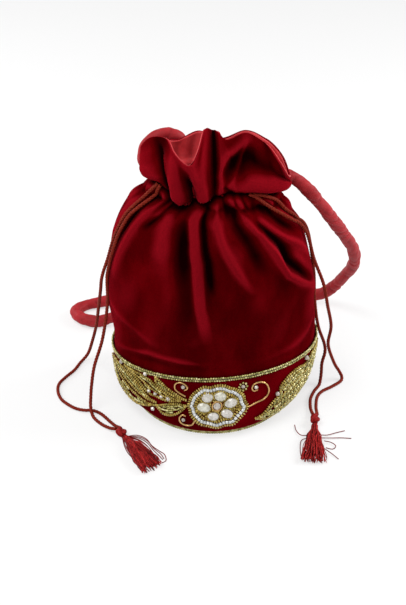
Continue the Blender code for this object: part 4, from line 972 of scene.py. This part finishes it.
def tassel_piece(name, middle, direction, across, seed, loose):
    """Soft threads that leave the knot, are drawn in at the neck and spread over the floor."""
    random = np.random.default_rng(seed)
    stations, widths, heights = TASSEL_STATIONS.T
    parts, tones = [], []
    for index in range(THREADS):
        ring = math.sqrt((index + 0.5) / THREADS)
        angle = GOLDEN_TURN * index + random.normal(0, 0.1)
        length = random.uniform(0.84, 1.0) if index % 6 else random.uniform(0.6, 0.9)
        level = np.linspace(0, length, 26)
        width = np.interp(level, stations, widths) * TASSEL_WIDTH / 2 - 0.5
        height = np.interp(level, stations, heights) * TASSEL_HEIGHT / 2 - 0.5
        waves = [np.sin(level * random.uniform(4, 8) + random.uniform(0, 6)) * random.uniform(0.4, 1.5)
                 + np.sin(level * random.uniform(14, 24) + random.uniform(0, 6)) * random.uniform(0.1, 0.5)
                 for _ in range(2)]
        side = ring * np.cos(angle) * width + waves[0] * np.minimum(level * 2.2, 1)
        tall = height * (1 + ring * np.sin(angle)) + 0.7 + 0.7 * waves[1] * np.minimum(level * 2, 1)
        ahead = KNOT_LENGTH / 2 - 1.5 + level * (TASSEL_LENGTH + 1.0)
        line = middle + np.outer(ahead, direction) + np.outer(side, across)
        line[:, 2] = np.maximum(tall, 0.6)
        radius = THREAD_RADIUS * random.uniform(0.8, 1.3)
        parts.append(tube(line, radius * np.linspace(1.0, 0.9, len(line)), 5))
        tones.append(np.full(len(parts[-1][0]), random.uniform(0, 1)))
    for route in loose:
        line = even_path([(x, y, 0.6) for x, y in table(route, 2)], 1.5)
        line[:, 2] = 0.6 + 1.8 * np.linspace(1, 0, len(line)) ** 2
        parts.append(tube(line, 0.42, 5))
        tones.append(np.full(len(parts[-1][0]), 0.25))
    corners, faces = joined(parts)
    corners[:, 2] = np.maximum(corners[:, 2], FLOOR_LIMIT)
    return mesh_object(name, corners, faces, tones=np.concatenate(tones))


def make_cords():
    knots = {}
    for side, (knot, aim, seed, loose) in KNOTS.items():
        axis = knot_axis(knot, aim)
        lump = dress(knot_piece(f"knot_{side}_tied", *axis), "knot_yarn", "string", f"knot_{side}")
        tuft = dress(tassel_piece(f"tassel_{side}_threads", *axis, seed, loose),
                     "tassel_silk", "tassel_thread", f"tassel_{side}")
        knots[side] = axis, (lump, tuft)
    for name, (side, starts, route) in STRANDS.items():
        (middle, direction, across), tied = knots[name.split("_")[0]]
        spread = (STRING_DIAMETER + STRAND_GAP) / 2
        end = middle - direction * (KNOT_LENGTH / 2 + GAP) + across * side * spread
        node = "drawstring_" + name
        piece, points = twisted_cord(
            node + "_plies", [*(on_cloth(*place) for place in table(starts)), *table(route), end])
        dress(piece, "string_yarn", "string", node)
    piece, points = ruched_tube("handle_ruched", [HANDLE_EXIT, *HANDLE_ROUTE])
    dress(piece, "handle_satin", "satin_handle", "handle")


make_velvet()
make_lining()
make_border()
make_cords()


# Beadwork. A spot on the border is its distance along it and its height.

BORDER_GIRTH = girth_at(BELLY_HEIGHT)
BORDER_STEPS = 1024
BORDER_LEVELS = np.linspace(SEAM_HEIGHT, BORDER_HEIGHT + PIPING_WIDTH + 1.0, 90)
BORDER_GRID = np.array([wall_ring(height, column_shares(BORDER_STEPS), GAP + BORDER_CLOTH)
                        for height in BORDER_LEVELS])
BORDER_NORMALS = grid_normals(BORDER_GRID)


def border_frames(spots):
    """Places on the border's cloth with the directions along it, up it and out of it."""
    column = (spots[:, 0] / BORDER_GIRTH) % 1.0 * BORDER_STEPS
    level = np.interp(spots[:, 1], BORDER_LEVELS, np.arange(len(BORDER_LEVELS)))
    low = np.minimum(level.astype(int), len(BORDER_LEVELS) - 2)
    left = column.astype(int) % BORDER_STEPS
    right = (left + 1) % BORDER_STEPS
    side, rise = (column % 1.0)[:, None], (level - low)[:, None]
    foot = BORDER_GRID[low, left] * (1 - side) + BORDER_GRID[low, right] * side
    head = BORDER_GRID[low + 1, left] * (1 - side) + BORDER_GRID[low + 1, right] * side
    ahead = BORDER_GRID[low, right] - BORDER_GRID[low, left]
    ahead /= np.linalg.norm(ahead, axis=1, keepdims=True)
    normal = BORDER_NORMALS[low, left]
    return foot * (1 - rise) + head * rise, ahead, np.cross(normal, ahead), normal


def lathe(profile, sides):
    """A small closed body turned about X, from pairs of place and radius."""
    turns = TAU * np.arange(sides) / sides
    rings = [np.stack([np.full(sides, place), radius * np.cos(turns), radius * np.sin(turns)], 1)
             for place, radius in profile]
    index = np.arange(len(profile) * sides).reshape(len(profile), sides)
    low, high = index[:-1], index[1:]
    faces = np.stack([low, high, np.roll(high, -1, 1), np.roll(low, -1, 1)], -1).reshape(-1, 4).tolist()
    return np.concatenate(rings), faces + [index[0].tolist(), index[-1][::-1].tolist()]


SEED = lathe(((-0.48, 0.35), (-0.36, 0.74), (0.0, 1.0), (0.36, 0.74), (0.48, 0.35)), 8)
STITCH = lathe(((-0.5, 0.4), (-0.42, 0.85), (0.0, 1.0), (0.42, 0.85), (0.5, 0.4)), 8)
BUGLE = lathe(((-0.5, 0.6), (-0.45, 1.0), (0.45, 1.0), (0.5, 0.6)), 7)
GEM = lathe(((-0.2, 0.9), (0.1, 1.0), (0.3, 0.94), (0.72, 0.6), (0.92, 0.26)), 10)


class Beads:
    """Collects beads of one finish and makes one piece of them."""

    def __init__(self):
        self.parts = []
        self.tones = []

    def sew(self, shape, spots, angle, size, lift, roll=False):
        """Sews a bead at each spot; size is its length, width and rise; roll stands its axis up."""
        spots = np.atleast_2d(spots)
        count = len(spots)
        if count == 0:
            return
        angle = np.broadcast_to(angle, count)[:, None]
        place, ahead, upward, normal = border_frames(spots)
        first = ahead * np.cos(angle) + upward * np.sin(angle)
        second = np.cross(normal, first)
        points, faces = shape
        size = np.broadcast_to(np.asarray(size, float), (count, 3))
        axes = (normal, first, second) if roll else (first, second, normal)
        corners = (place + normal * np.broadcast_to(lift, count)[:, None])[:, None, :]
        for axis in range(3):
            corners = corners + axes[axis][:, None, :] * (points[None, :, axis] * size[:, axis:axis + 1])[..., None]
        for corner, tone in zip(corners, RANDOM.random(count)):
            self.add(corner, faces, tone)

    def add(self, corners, faces, tone):
        self.parts.append((corners, faces))
        self.tones.append(np.broadcast_to(tone, len(corners)))

    def build(self, name, material, slot, *nodes, smooth=True):
        corners, faces = joined(self.parts)
        return dress(mesh_object(name, corners, faces, smooth, np.concatenate(self.tones)), material, slot, *nodes)


def headings(path, closed=False):
    run = (np.roll(path, -1, 0) - np.roll(path, 1, 0)) if closed else np.gradient(path, axis=0)
    return np.arctan2(run[:, 1], run[:, 0])


def closed_path(points, step):
    ring = np.concatenate([points[-3:], points, points[:3]])
    fine = catmull(ring, np.linspace(3, 3 + len(points), 40 * len(points)))
    walked = lengths_along(fine)
    count = int(round(walked[-1] / step))
    return points_at(np.linspace(0, walked[-1], count, endpoint=False), walked, fine)


def inset_path(points, inset):
    """A closed path moved in by a distance."""
    run = np.roll(points, -1, 0) - np.roll(points, 1, 0)
    run /= np.linalg.norm(run, axis=1, keepdims=True)
    side = np.stack([-run[:, 1], run[:, 0]], 1)
    if ((points.mean(axis=0) - points) * side).sum() < 0:
        side = -side
    return points + side * inset


def circle(count, reach_x, reach_y=None):
    """The turns round an oval and its points, from its middle."""
    turns = TAU * np.arange(count) / count
    return turns, np.stack([reach_x * np.cos(turns), (reach_x if reach_y is None else reach_y) * np.sin(turns)], 1)


FLOWER = table(
    "-23.8 30.6, -22.2 38, -19.4 43.6, -10.8 50.6, -3.6 50.4, 1.4 52, 9 51.4, 15 48.4, 20 46.4, 27 39.6,"
    "28.2 34.4, 31 29.4, 29.2 22.4, 25.2 18.6, 19 12.6, 11.4 12.2, 3.4 9.8, -3.6 12, -11.4 13.8,"
    "-17.4 18.6, -20.8 22, -22 26.4", 2)
# spot, half width, half height and turn in degrees
PETALS = table("-6.2 39.4 5.4 5 30, 5.4 40.4 5.6 5.2 -8, 15.2 33.2 6.2 4.6 18, 12.2 23.6 5.8 4.2 -28,"
               "0.2 21.8 5.2 3.9 0, -8.8 29.8 6.2 4.7 -10", 5)
EYE = np.array([2.9, 31.0])
EYE_SIZE = 3.5
FLORET = np.array([25.4, 47.0])
SCROLLS = (
    "31.3 27.4, 38.2 29.6, 46.3 31.6, 49.9 37.2, 47.3 44.4, 41.5 48, 35.6 47.3, 33.6 43.8, 35.4 41, 38.8 41.2",
    "-25.6 39.4, -30.8 41.8, -35.6 45.6, -35.4 50.6, -31 52.6, -26 50.4, -24.4 47.2, -27 45.2",
    "-15.2 18.6, -18.4 13.2, -23.4 11.4, -28 13.2, -29.6 17.8, -27.2 21.4, -23.8 20.8",
)
# spot and size
GEMS = table("37.4 43.9 1.9, -28.4 48.2 1.9, -25.9 17.2 1.8, -55.5 20.2 1.9, 59 31.4 2.1, -65.4 54 2,"
             "-60.5 37.4 1.9, -54 36.6 1.9, -47.8 35.4 2, -41.2 34.6 2.3, -95.5 53.6 2.1, 93 51 2.3, 73 5.6 1.6")
# Leaves: the rows' fill (bugles, seeds or bare cloth), the upper edge and the lower edge
LEFT_LEAVES = (
    ("bb", "-24.6 31, -31.6 31.6, -39 30.4, -45.1 28, -52.4 25.2",
     "-24.6 30, -27 25.6, -33 20.6, -40 18.4, -46 19.2, -52.4 24.6"),
    ("b", "-25 36.2, -33.9 40.8, -43.3 46.2, -49.1 50.6, -53.6 54",
     "-25 35.6, -34.6 37.2, -46.1 42.2, -52 45.6, -55 49.4, -55 54"),
    ("b.s", "-30 35.2, -38 36.8, -46.5 41, -53.7 45.2, -59.3 49.4, -66 51.6, -76 53, -90 53.6",
     "-30 34, -36 32.6, -43 32, -53 33.6, -61 34.8, -68 40, -76 45.8, -90 52.8"),
    ("s.b", "-52.6 28.6, -60.6 31, -65.9 35.6, -69.8 39.2, -77.4 44.4, -85.8 48.6, -94 50.2, -110 51",
     "-52.6 27.2, -62 28, -72 31.2, -82 35.2, -92 39.8, -101 44.2, -110 50"),
    ("b.s", "-54 25, -62 24.8, -72 27.2, -82 31, -92 35.6, -102 40.6, -116 49.4",
     "-54 24.2, -60.3 21.8, -70.5 18.2, -80 16.2, -90 17.8, -101 24, -110 34, -116 48.6"),
)
PAISLEY = (
    ("bsb", "39.4 15.4, 46.6 18.2, 50.8 22.8, 55.4 26.4, 61.6 31.6, 61.4 37.4, 65 41.6, 70.6 45,"
            "77.4 47.4, 84 47.4, 90 45.8, 97 48.8, 104 52.2, 122 52.6",
     "39.4 14.4, 48 10.6, 57 8.2, 66 7.6, 76 8.6, 85 11.2, 94 15.2, 102 20.4, 110 27.6, 116 36, 122 51"),
)
BACK_LEAVES = (
    ("bsb", "0 0.8, 15 5, 31 11, 47 14, 61 17", "0 -0.8, 15 -7, 31 -5, 47 2, 61 16"),
    ("sb", "5 11.8, 19 16, 35 21.6, 49 24", "5 10.4, 19 9, 35 14.6, 49 22.6"),
)
BACK_MIDDLE = BORDER_GIRTH / 2
BACK_FLOWER_HEIGHT = 31
BACK_LEAF_SPOT = (46, 27)
EDGE_STEPS = 160
ROW_GAP = 2.1


def across_ring(beads, outline, pitch, length, width, lift):
    """Short stitches laid across an outline, side by side."""
    path = closed_path(outline, pitch)
    turn = headings(path, True) + math.pi / 2 + RANDOM.normal(0, 0.1, len(path))
    beads.sew(STITCH, path, turn, (length, width, width), lift + RANDOM.normal(0, 0.1, len(path)))


def fill_seeds(beads, outline, pitch):
    """Seeds that fill the flower's ground between its stones."""
    low, high = outline.min(axis=0), outline.max(axis=0)
    centre = outline.mean(axis=0)
    edge = np.arctan2(*(outline - centre).T[::-1])
    order = np.argsort(edge)
    reach = np.linalg.norm(outline - centre, axis=1)[order]
    kept = []
    for along in np.arange(low[0], high[0], pitch):
        for height in np.arange(low[1], high[1], pitch):
            spot = np.array([along, height]) + RANDOM.normal(0, 0.3, 2)
            away = spot - centre
            if np.hypot(*away) > np.interp(math.atan2(away[1], away[0]), edge[order], reach, period=TAU) - 1:
                continue
            covered = np.hypot(*(spot - EYE)) < EYE_SIZE + 1.4
            for middle, up, half_width, half_height, turn in PETALS:
                c, s = math.cos(math.radians(turn)), math.sin(math.radians(turn))
                x, y = spot[0] - middle, spot[1] - up
                covered = covered or math.hypot((x * c + y * s) / (half_width + 0.9),
                                                (y * c - x * s) / (half_height + 0.9)) < 1
            if not covered:
                kept.append(spot)
    beads.sew(SEED, kept, RANDOM.uniform(0, 3, len(kept)), (1.7, 0.9, 0.9), 1.0)


def wire_path(beads, path, radius=0.82, coil=0.62):
    """A tight coil of wire sewn along a path."""
    place, ahead, upward, normal = border_frames(even_path(path, coil / 2))
    points = place + normal * (radius + 0.1)
    size = np.where(np.arange(len(points)) % 2 == 0, radius, radius * 0.82)
    beads.add(*tube(points, size, 8), np.repeat(RANDOM.random(len(points)), 8))


def make_flower():
    gold, silver, stones, eye, wire = (Beads() for _ in range(5))
    outline = closed_path(FLOWER, 1.0)
    across_ring(gold, inset_path(outline, 1.5)[::2], 2.15, 3.1, 0.86, 1.35)
    across_ring(gold, inset_path(outline, 7.3)[::2], 2.1, 2.9, 0.86, 1.4)
    fill_seeds(gold, inset_path(outline, 8.2), 1.9)
    path = closed_path(inset_path(outline, 4.3)[::2], 2.9)
    silver.sew(BUGLE, path, headings(path, True), (2.65, 1.6, 1.35), 1.3)
    for along, height, half_width, half_height, turn in PETALS:
        c, s = math.cos(math.radians(turn)), math.sin(math.radians(turn))
        out, up = circle(16, half_width + 0.3, half_height + 0.3)[1].T
        ring = closed_path(np.stack([along + out * c - up * s, height + out * s + up * c], 1), 1.3)
        gold.sew(SEED, ring, headings(ring, True), (1.4, 0.55, 0.6), 1.0)
        stones.sew(GEM, (along, height), math.radians(turn), (2.9, half_width, half_height), 0.7, roll=True)
    gold.build("flower_gold", "gold_seed", "gold_beads", "flower_gold_ring", "flower_inner_ring")
    silver.build("flower_silver", "silver_seed", "silver_beads", "flower_white_ring")
    stones.build("flower_stones", "opal_stone", "opal_stone",
                 *(f"petal_stone_{index + 1}" for index in range(len(PETALS))), smooth=False)
    eye.sew(GEM, EYE, 0.0, (3.1, EYE_SIZE, EYE_SIZE), 0.7, roll=True)
    eye.build("eye_gem", "cut_crystal", "crystal", "eye_stone", smooth=False)
    turns = np.linspace(0, TAU, 25)
    wire_path(wire, EYE + (EYE_SIZE + 0.7) * np.stack([np.cos(turns), np.sin(turns)], 1), 0.75, 1.3)
    wire.build("eye_wire", "coiled_wire", "coiled_wire", "eye_ring")


def make_small_ornaments():
    floret, gems, scrolls = Beads(), Beads(), Beads()
    turns, ring = circle(8, 3.5)
    floret.sew(SEED, FLORET + ring, turns + math.pi / 2, (1.9, 1.2, 1.1), 1.1)
    floret.build("floret_beads", "bugle_glass", "gold_beads", "floret")
    gems.sew(GEM, FLORET, 0.0, (2.4, 1.9, 1.9), 0.8, roll=True)
    gems.sew(GEM, GEMS[:, :2], 0.4, GEMS[:, 2:] * (1.15, 1, 1), 0.9, roll=True)
    gems.build("border_gems", "cut_crystal", "crystal", *(f"crystal_{index + 1}" for index in range(6)),
               smooth=False)
    for path in SCROLLS:
        wire_path(scrolls, table(path, 2))
    scrolls.build("scroll_wires", "coiled_wire", "coiled_wire", "scroll_right", "scroll_upper", "scroll_lower")


def leaf_rows(gold, bugles, fill, upper, lower):
    """A leaf sewn in rows that run from tip to tip between its edges, and are left out where it narrows."""
    paths = [even_path(edge, 0.4) for edge in (upper, lower)]
    top, foot = (path[np.linspace(0, len(path) - 1, EDGE_STEPS).astype(int)] for path in paths)
    width = np.linalg.norm(top - foot, axis=1)
    for edge, other in ((top, foot), (foot, top)):
        inward = (other - edge) / np.maximum(width, 1e-6)[:, None]
        path = even_path(edge + inward * np.minimum(0.7, width / 2)[:, None], 2.0, smooth=False)
        turn = headings(path) + math.pi / 2 + RANDOM.normal(0, 0.16, len(path))
        gold.sew(STITCH, path, turn, (2.3, 0.92, 0.95), 1.2 + RANDOM.normal(0, 0.12, len(path)))
    inner = np.maximum(width - 4.2, 0.0)
    inset = 2.1 / np.maximum(width, 1e-6)
    rows = int(inner.max() / ROW_GAP) + 1
    stride = np.ceil(1.75 / np.maximum(inner / rows, 0.05))
    for row in range(rows):
        kind = fill[row % len(fill)]
        if kind == ".":
            continue
        kept = ((row - rows // 2) % stride == 0) & (inner > 0.9)
        share = (row + 0.5) / rows
        line = top + (foot - top) * np.clip(inset + (1 - 2 * inset) * share, 0, 1)[:, None]
        beads, shape, piece, size, noise_of_turn = (
            (bugles, BUGLE, 3.7, (3.5, 0.85, 0.85), 0.18) if kind == "b" else
            (gold, SEED, 2.05, (2.0, 1.02, 1.02), 0.4))
        walked = lengths_along(line)
        stops = np.arange(piece / 2 + RANDOM.uniform(0, 1), walked[-1] - piece / 2, piece)
        shown = np.interp(stops, walked, kept.astype(float)) > 0.5
        spots = points_at(stops, walked, line)[shown]
        turn = np.interp(stops, walked, np.unwrap(headings(line)))[shown]
        lift = 1.25 + RANDOM.normal(0, 0.2, len(spots))
        beads.sew(shape, spots, turn + RANDOM.normal(0, noise_of_turn, len(spots)), size, lift)


def make_leaves():
    along, height = BACK_LEAF_SPOT
    for name, leaves, places, nodes in (
            ("spray_left", LEFT_LEAVES, ((1, 0, 0),),
             ("leaf_left_lower", "leaf_left_middle", "leaf_left_upper", "leaf_left_far")),
            ("spray_right", PAISLEY, ((1, 0, 0),), ("paisley_right",)),
            ("spray_back", BACK_LEAVES, [(side, BACK_MIDDLE + side * along, height) for side in (-1, 1)],
             ("leaf_back_right", "leaf_back_left"))):
        gold, bugles = Beads(), Beads()
        for fill, *edges in leaves:
            for side, x, y in places:
                leaf_rows(gold, bugles, fill, *(table(edge, 2) * (side, 1) + (x, y) for edge in edges))
        gold.build(name + "_seeds", "gold_seed", "gold_beads", *nodes)
        bugles.build(name + "_bugles", "bugle_glass", "bugle_beads")


def make_back_flower():
    rings, stone = Beads(), Beads()
    turns, ring = circle(24, 1.0, 13.6)
    outline = np.stack([BACK_MIDDLE + (20 + 0.8 * np.cos(6 * turns)) * ring[:, 0], BACK_FLOWER_HEIGHT + ring[:, 1]], 1)
    for inset in (1.2, 3.8, 6.4):
        across_ring(rings, inset_path(closed_path(outline, 1.0), inset)[::2], 2.1, 2.4, 0.95, 1.3)
    rings.build("back_flower_beads", "gold_seed", "gold_beads", "back_flower_ring")
    stone.sew(GEM, (BACK_MIDDLE, BACK_FLOWER_HEIGHT), 0.0, (2.8, 5.0, 5.0), 0.7, roll=True)
    stone.build("back_flower_stone", "opal_stone", "opal_stone", "back_eye_stone", smooth=False)


def make_pipings():
    rows, core, base = Beads(), Beads(), Beads()
    for shape, level, pitch, size, lift, into in (
            (SEED, 0.2, 2.1, (2.0, 0.95, 1.0), 0.5, rows), (SEED, 0.8, 2.1, (2.0, 0.95, 1.0), 0.5, rows),
            (BUGLE, 0.5, 4.6, (4.5, 0.75, 0.7), 0.3, core)):
        count = int(round(girth_at(BORDER_HEIGHT) / pitch))
        along = (np.arange(count) + 0.5 * (level > 0.5)) * BORDER_GIRTH / count
        height = BORDER_HEIGHT + GAP + level * (PIPING_WIDTH - 2 * GAP) + RANDOM.normal(0, 0.1, count)
        into.sew(shape, np.stack([along, height], 1), RANDOM.normal(0, 0.07, count), size,
                 lift + RANDOM.normal(0, 0.07, count))
    rows.build("border_piping_seeds", "bugle_glass", "bugle_beads", "border_piping")
    core.build("border_piping_core", "olive_glass", "bugle_beads", "border_piping")
    middle = BASE_RADIUS + GAP + BASE_PIPING_RADIUS
    count = int(TAU * middle / 2.15)
    points, faces = SEED
    for height, out, start in ((1.35, 0.5, 0.0), (3.25, 0.6, 0.5)):
        for index in range(count):
            turn = TAU * (index + start) / count
            ahead = np.array([math.cos(turn), math.sin(turn), 0.0])
            outer = np.array([math.sin(turn), -math.cos(turn), 0.0])
            centre = outer * (middle + out) + np.array([0, 0, height])
            corner = centre + np.outer(points[:, 0] * 2.3, ahead) + np.outer(points[:, 1] * 1.1, outer)
            corner[:, 2] += points[:, 2] * 1.1
            base.add(corner, faces, RANDOM.random())
    base.build("base_piping_beads", "bugle_glass", "gold_beads", "base_piping")


make_flower()
make_small_ornaments()
make_leaves()
make_back_flower()
make_pipings()


# Stage, lamps and background

WHITE = (1.0, 1.0, 1.0)
PAPER_GLOW = 0.62
# place, size in metres and power in watts
LAMPS = {
    "key": ((-0.5, -0.35, 1.25), 1.0, 10.0),
    "rim_left": ((-0.95, 0.5, 0.55), 0.6, 5.0),
    "rim_right": ((0.95, 0.2, 0.6), 0.6, 9.0),
}


def seen_rays(tree, *kinds):
    """1 for the rays that only see a surface as a background, of the given kinds."""
    rays = add(tree, "LightPath").outputs
    seen = rays["Is Camera Ray"]
    for kind in kinds:
        seen = maths(tree, "MAXIMUM", seen, rays[f"Is {kind} Ray"])
    return seen


def make_floor():
    turns = TAU * np.arange(96) / 96
    mesh = bpy.data.meshes.new("floor")
    mesh.from_pydata([(4 * math.cos(turn), 4 * math.sin(turn), 0) for turn in turns], [], [tuple(range(96))])
    new_object("floor", mesh)
    tree, shader = node_material("floor_paper", 0.9, Base_Color=(0.86, 0.86, 0.86, 1.0), Specular_IOR_Level=0.0)
    glow = add(tree, "Emission", Strength=1.0)
    feed(tree, glow.inputs["Color"], WHITE)
    mix = add(tree, "MixShader")
    for socket, item in enumerate((maths(tree, "MULTIPLY", seen_rays(tree, "Glossy", "Transmission"), PAPER_GLOW),
                                   shader.outputs[0], glow.outputs[0])):
        feed(tree, mix.inputs[socket], item)
    feed(tree, tree.nodes["Material Output"].inputs["Surface"], mix.outputs[0])
    mesh.materials.append(MATERIALS["floor_paper"])


def make_light():
    world = bpy.data.worlds.new("studio")
    bpy.context.scene.world = world
    world.use_nodes = True
    tree = world.node_tree
    background = tree.nodes["Background"].inputs
    feed(tree, background["Color"], WHITE)
    seen = seen_rays(tree, "Transmission")
    feed(tree, background["Strength"], maths(tree, "ADD", maths(tree, "MULTIPLY", seen, 0.5), 0.5))
    for name, (place, size, power) in LAMPS.items():
        data = bpy.data.lights.new(name, "AREA")
        data.shape = "DISK"
        data.size = size
        data.energy = power
        lamp = new_object(name, data)
        lamp.location = place
        lamp.rotation_euler = (Vector((0.0, 0.0, 0.12)) - lamp.location).to_track_quat("-Z", "Y").to_euler()


make_floor()
make_light()
bpy.context.scene.view_settings.view_transform = "Standard"
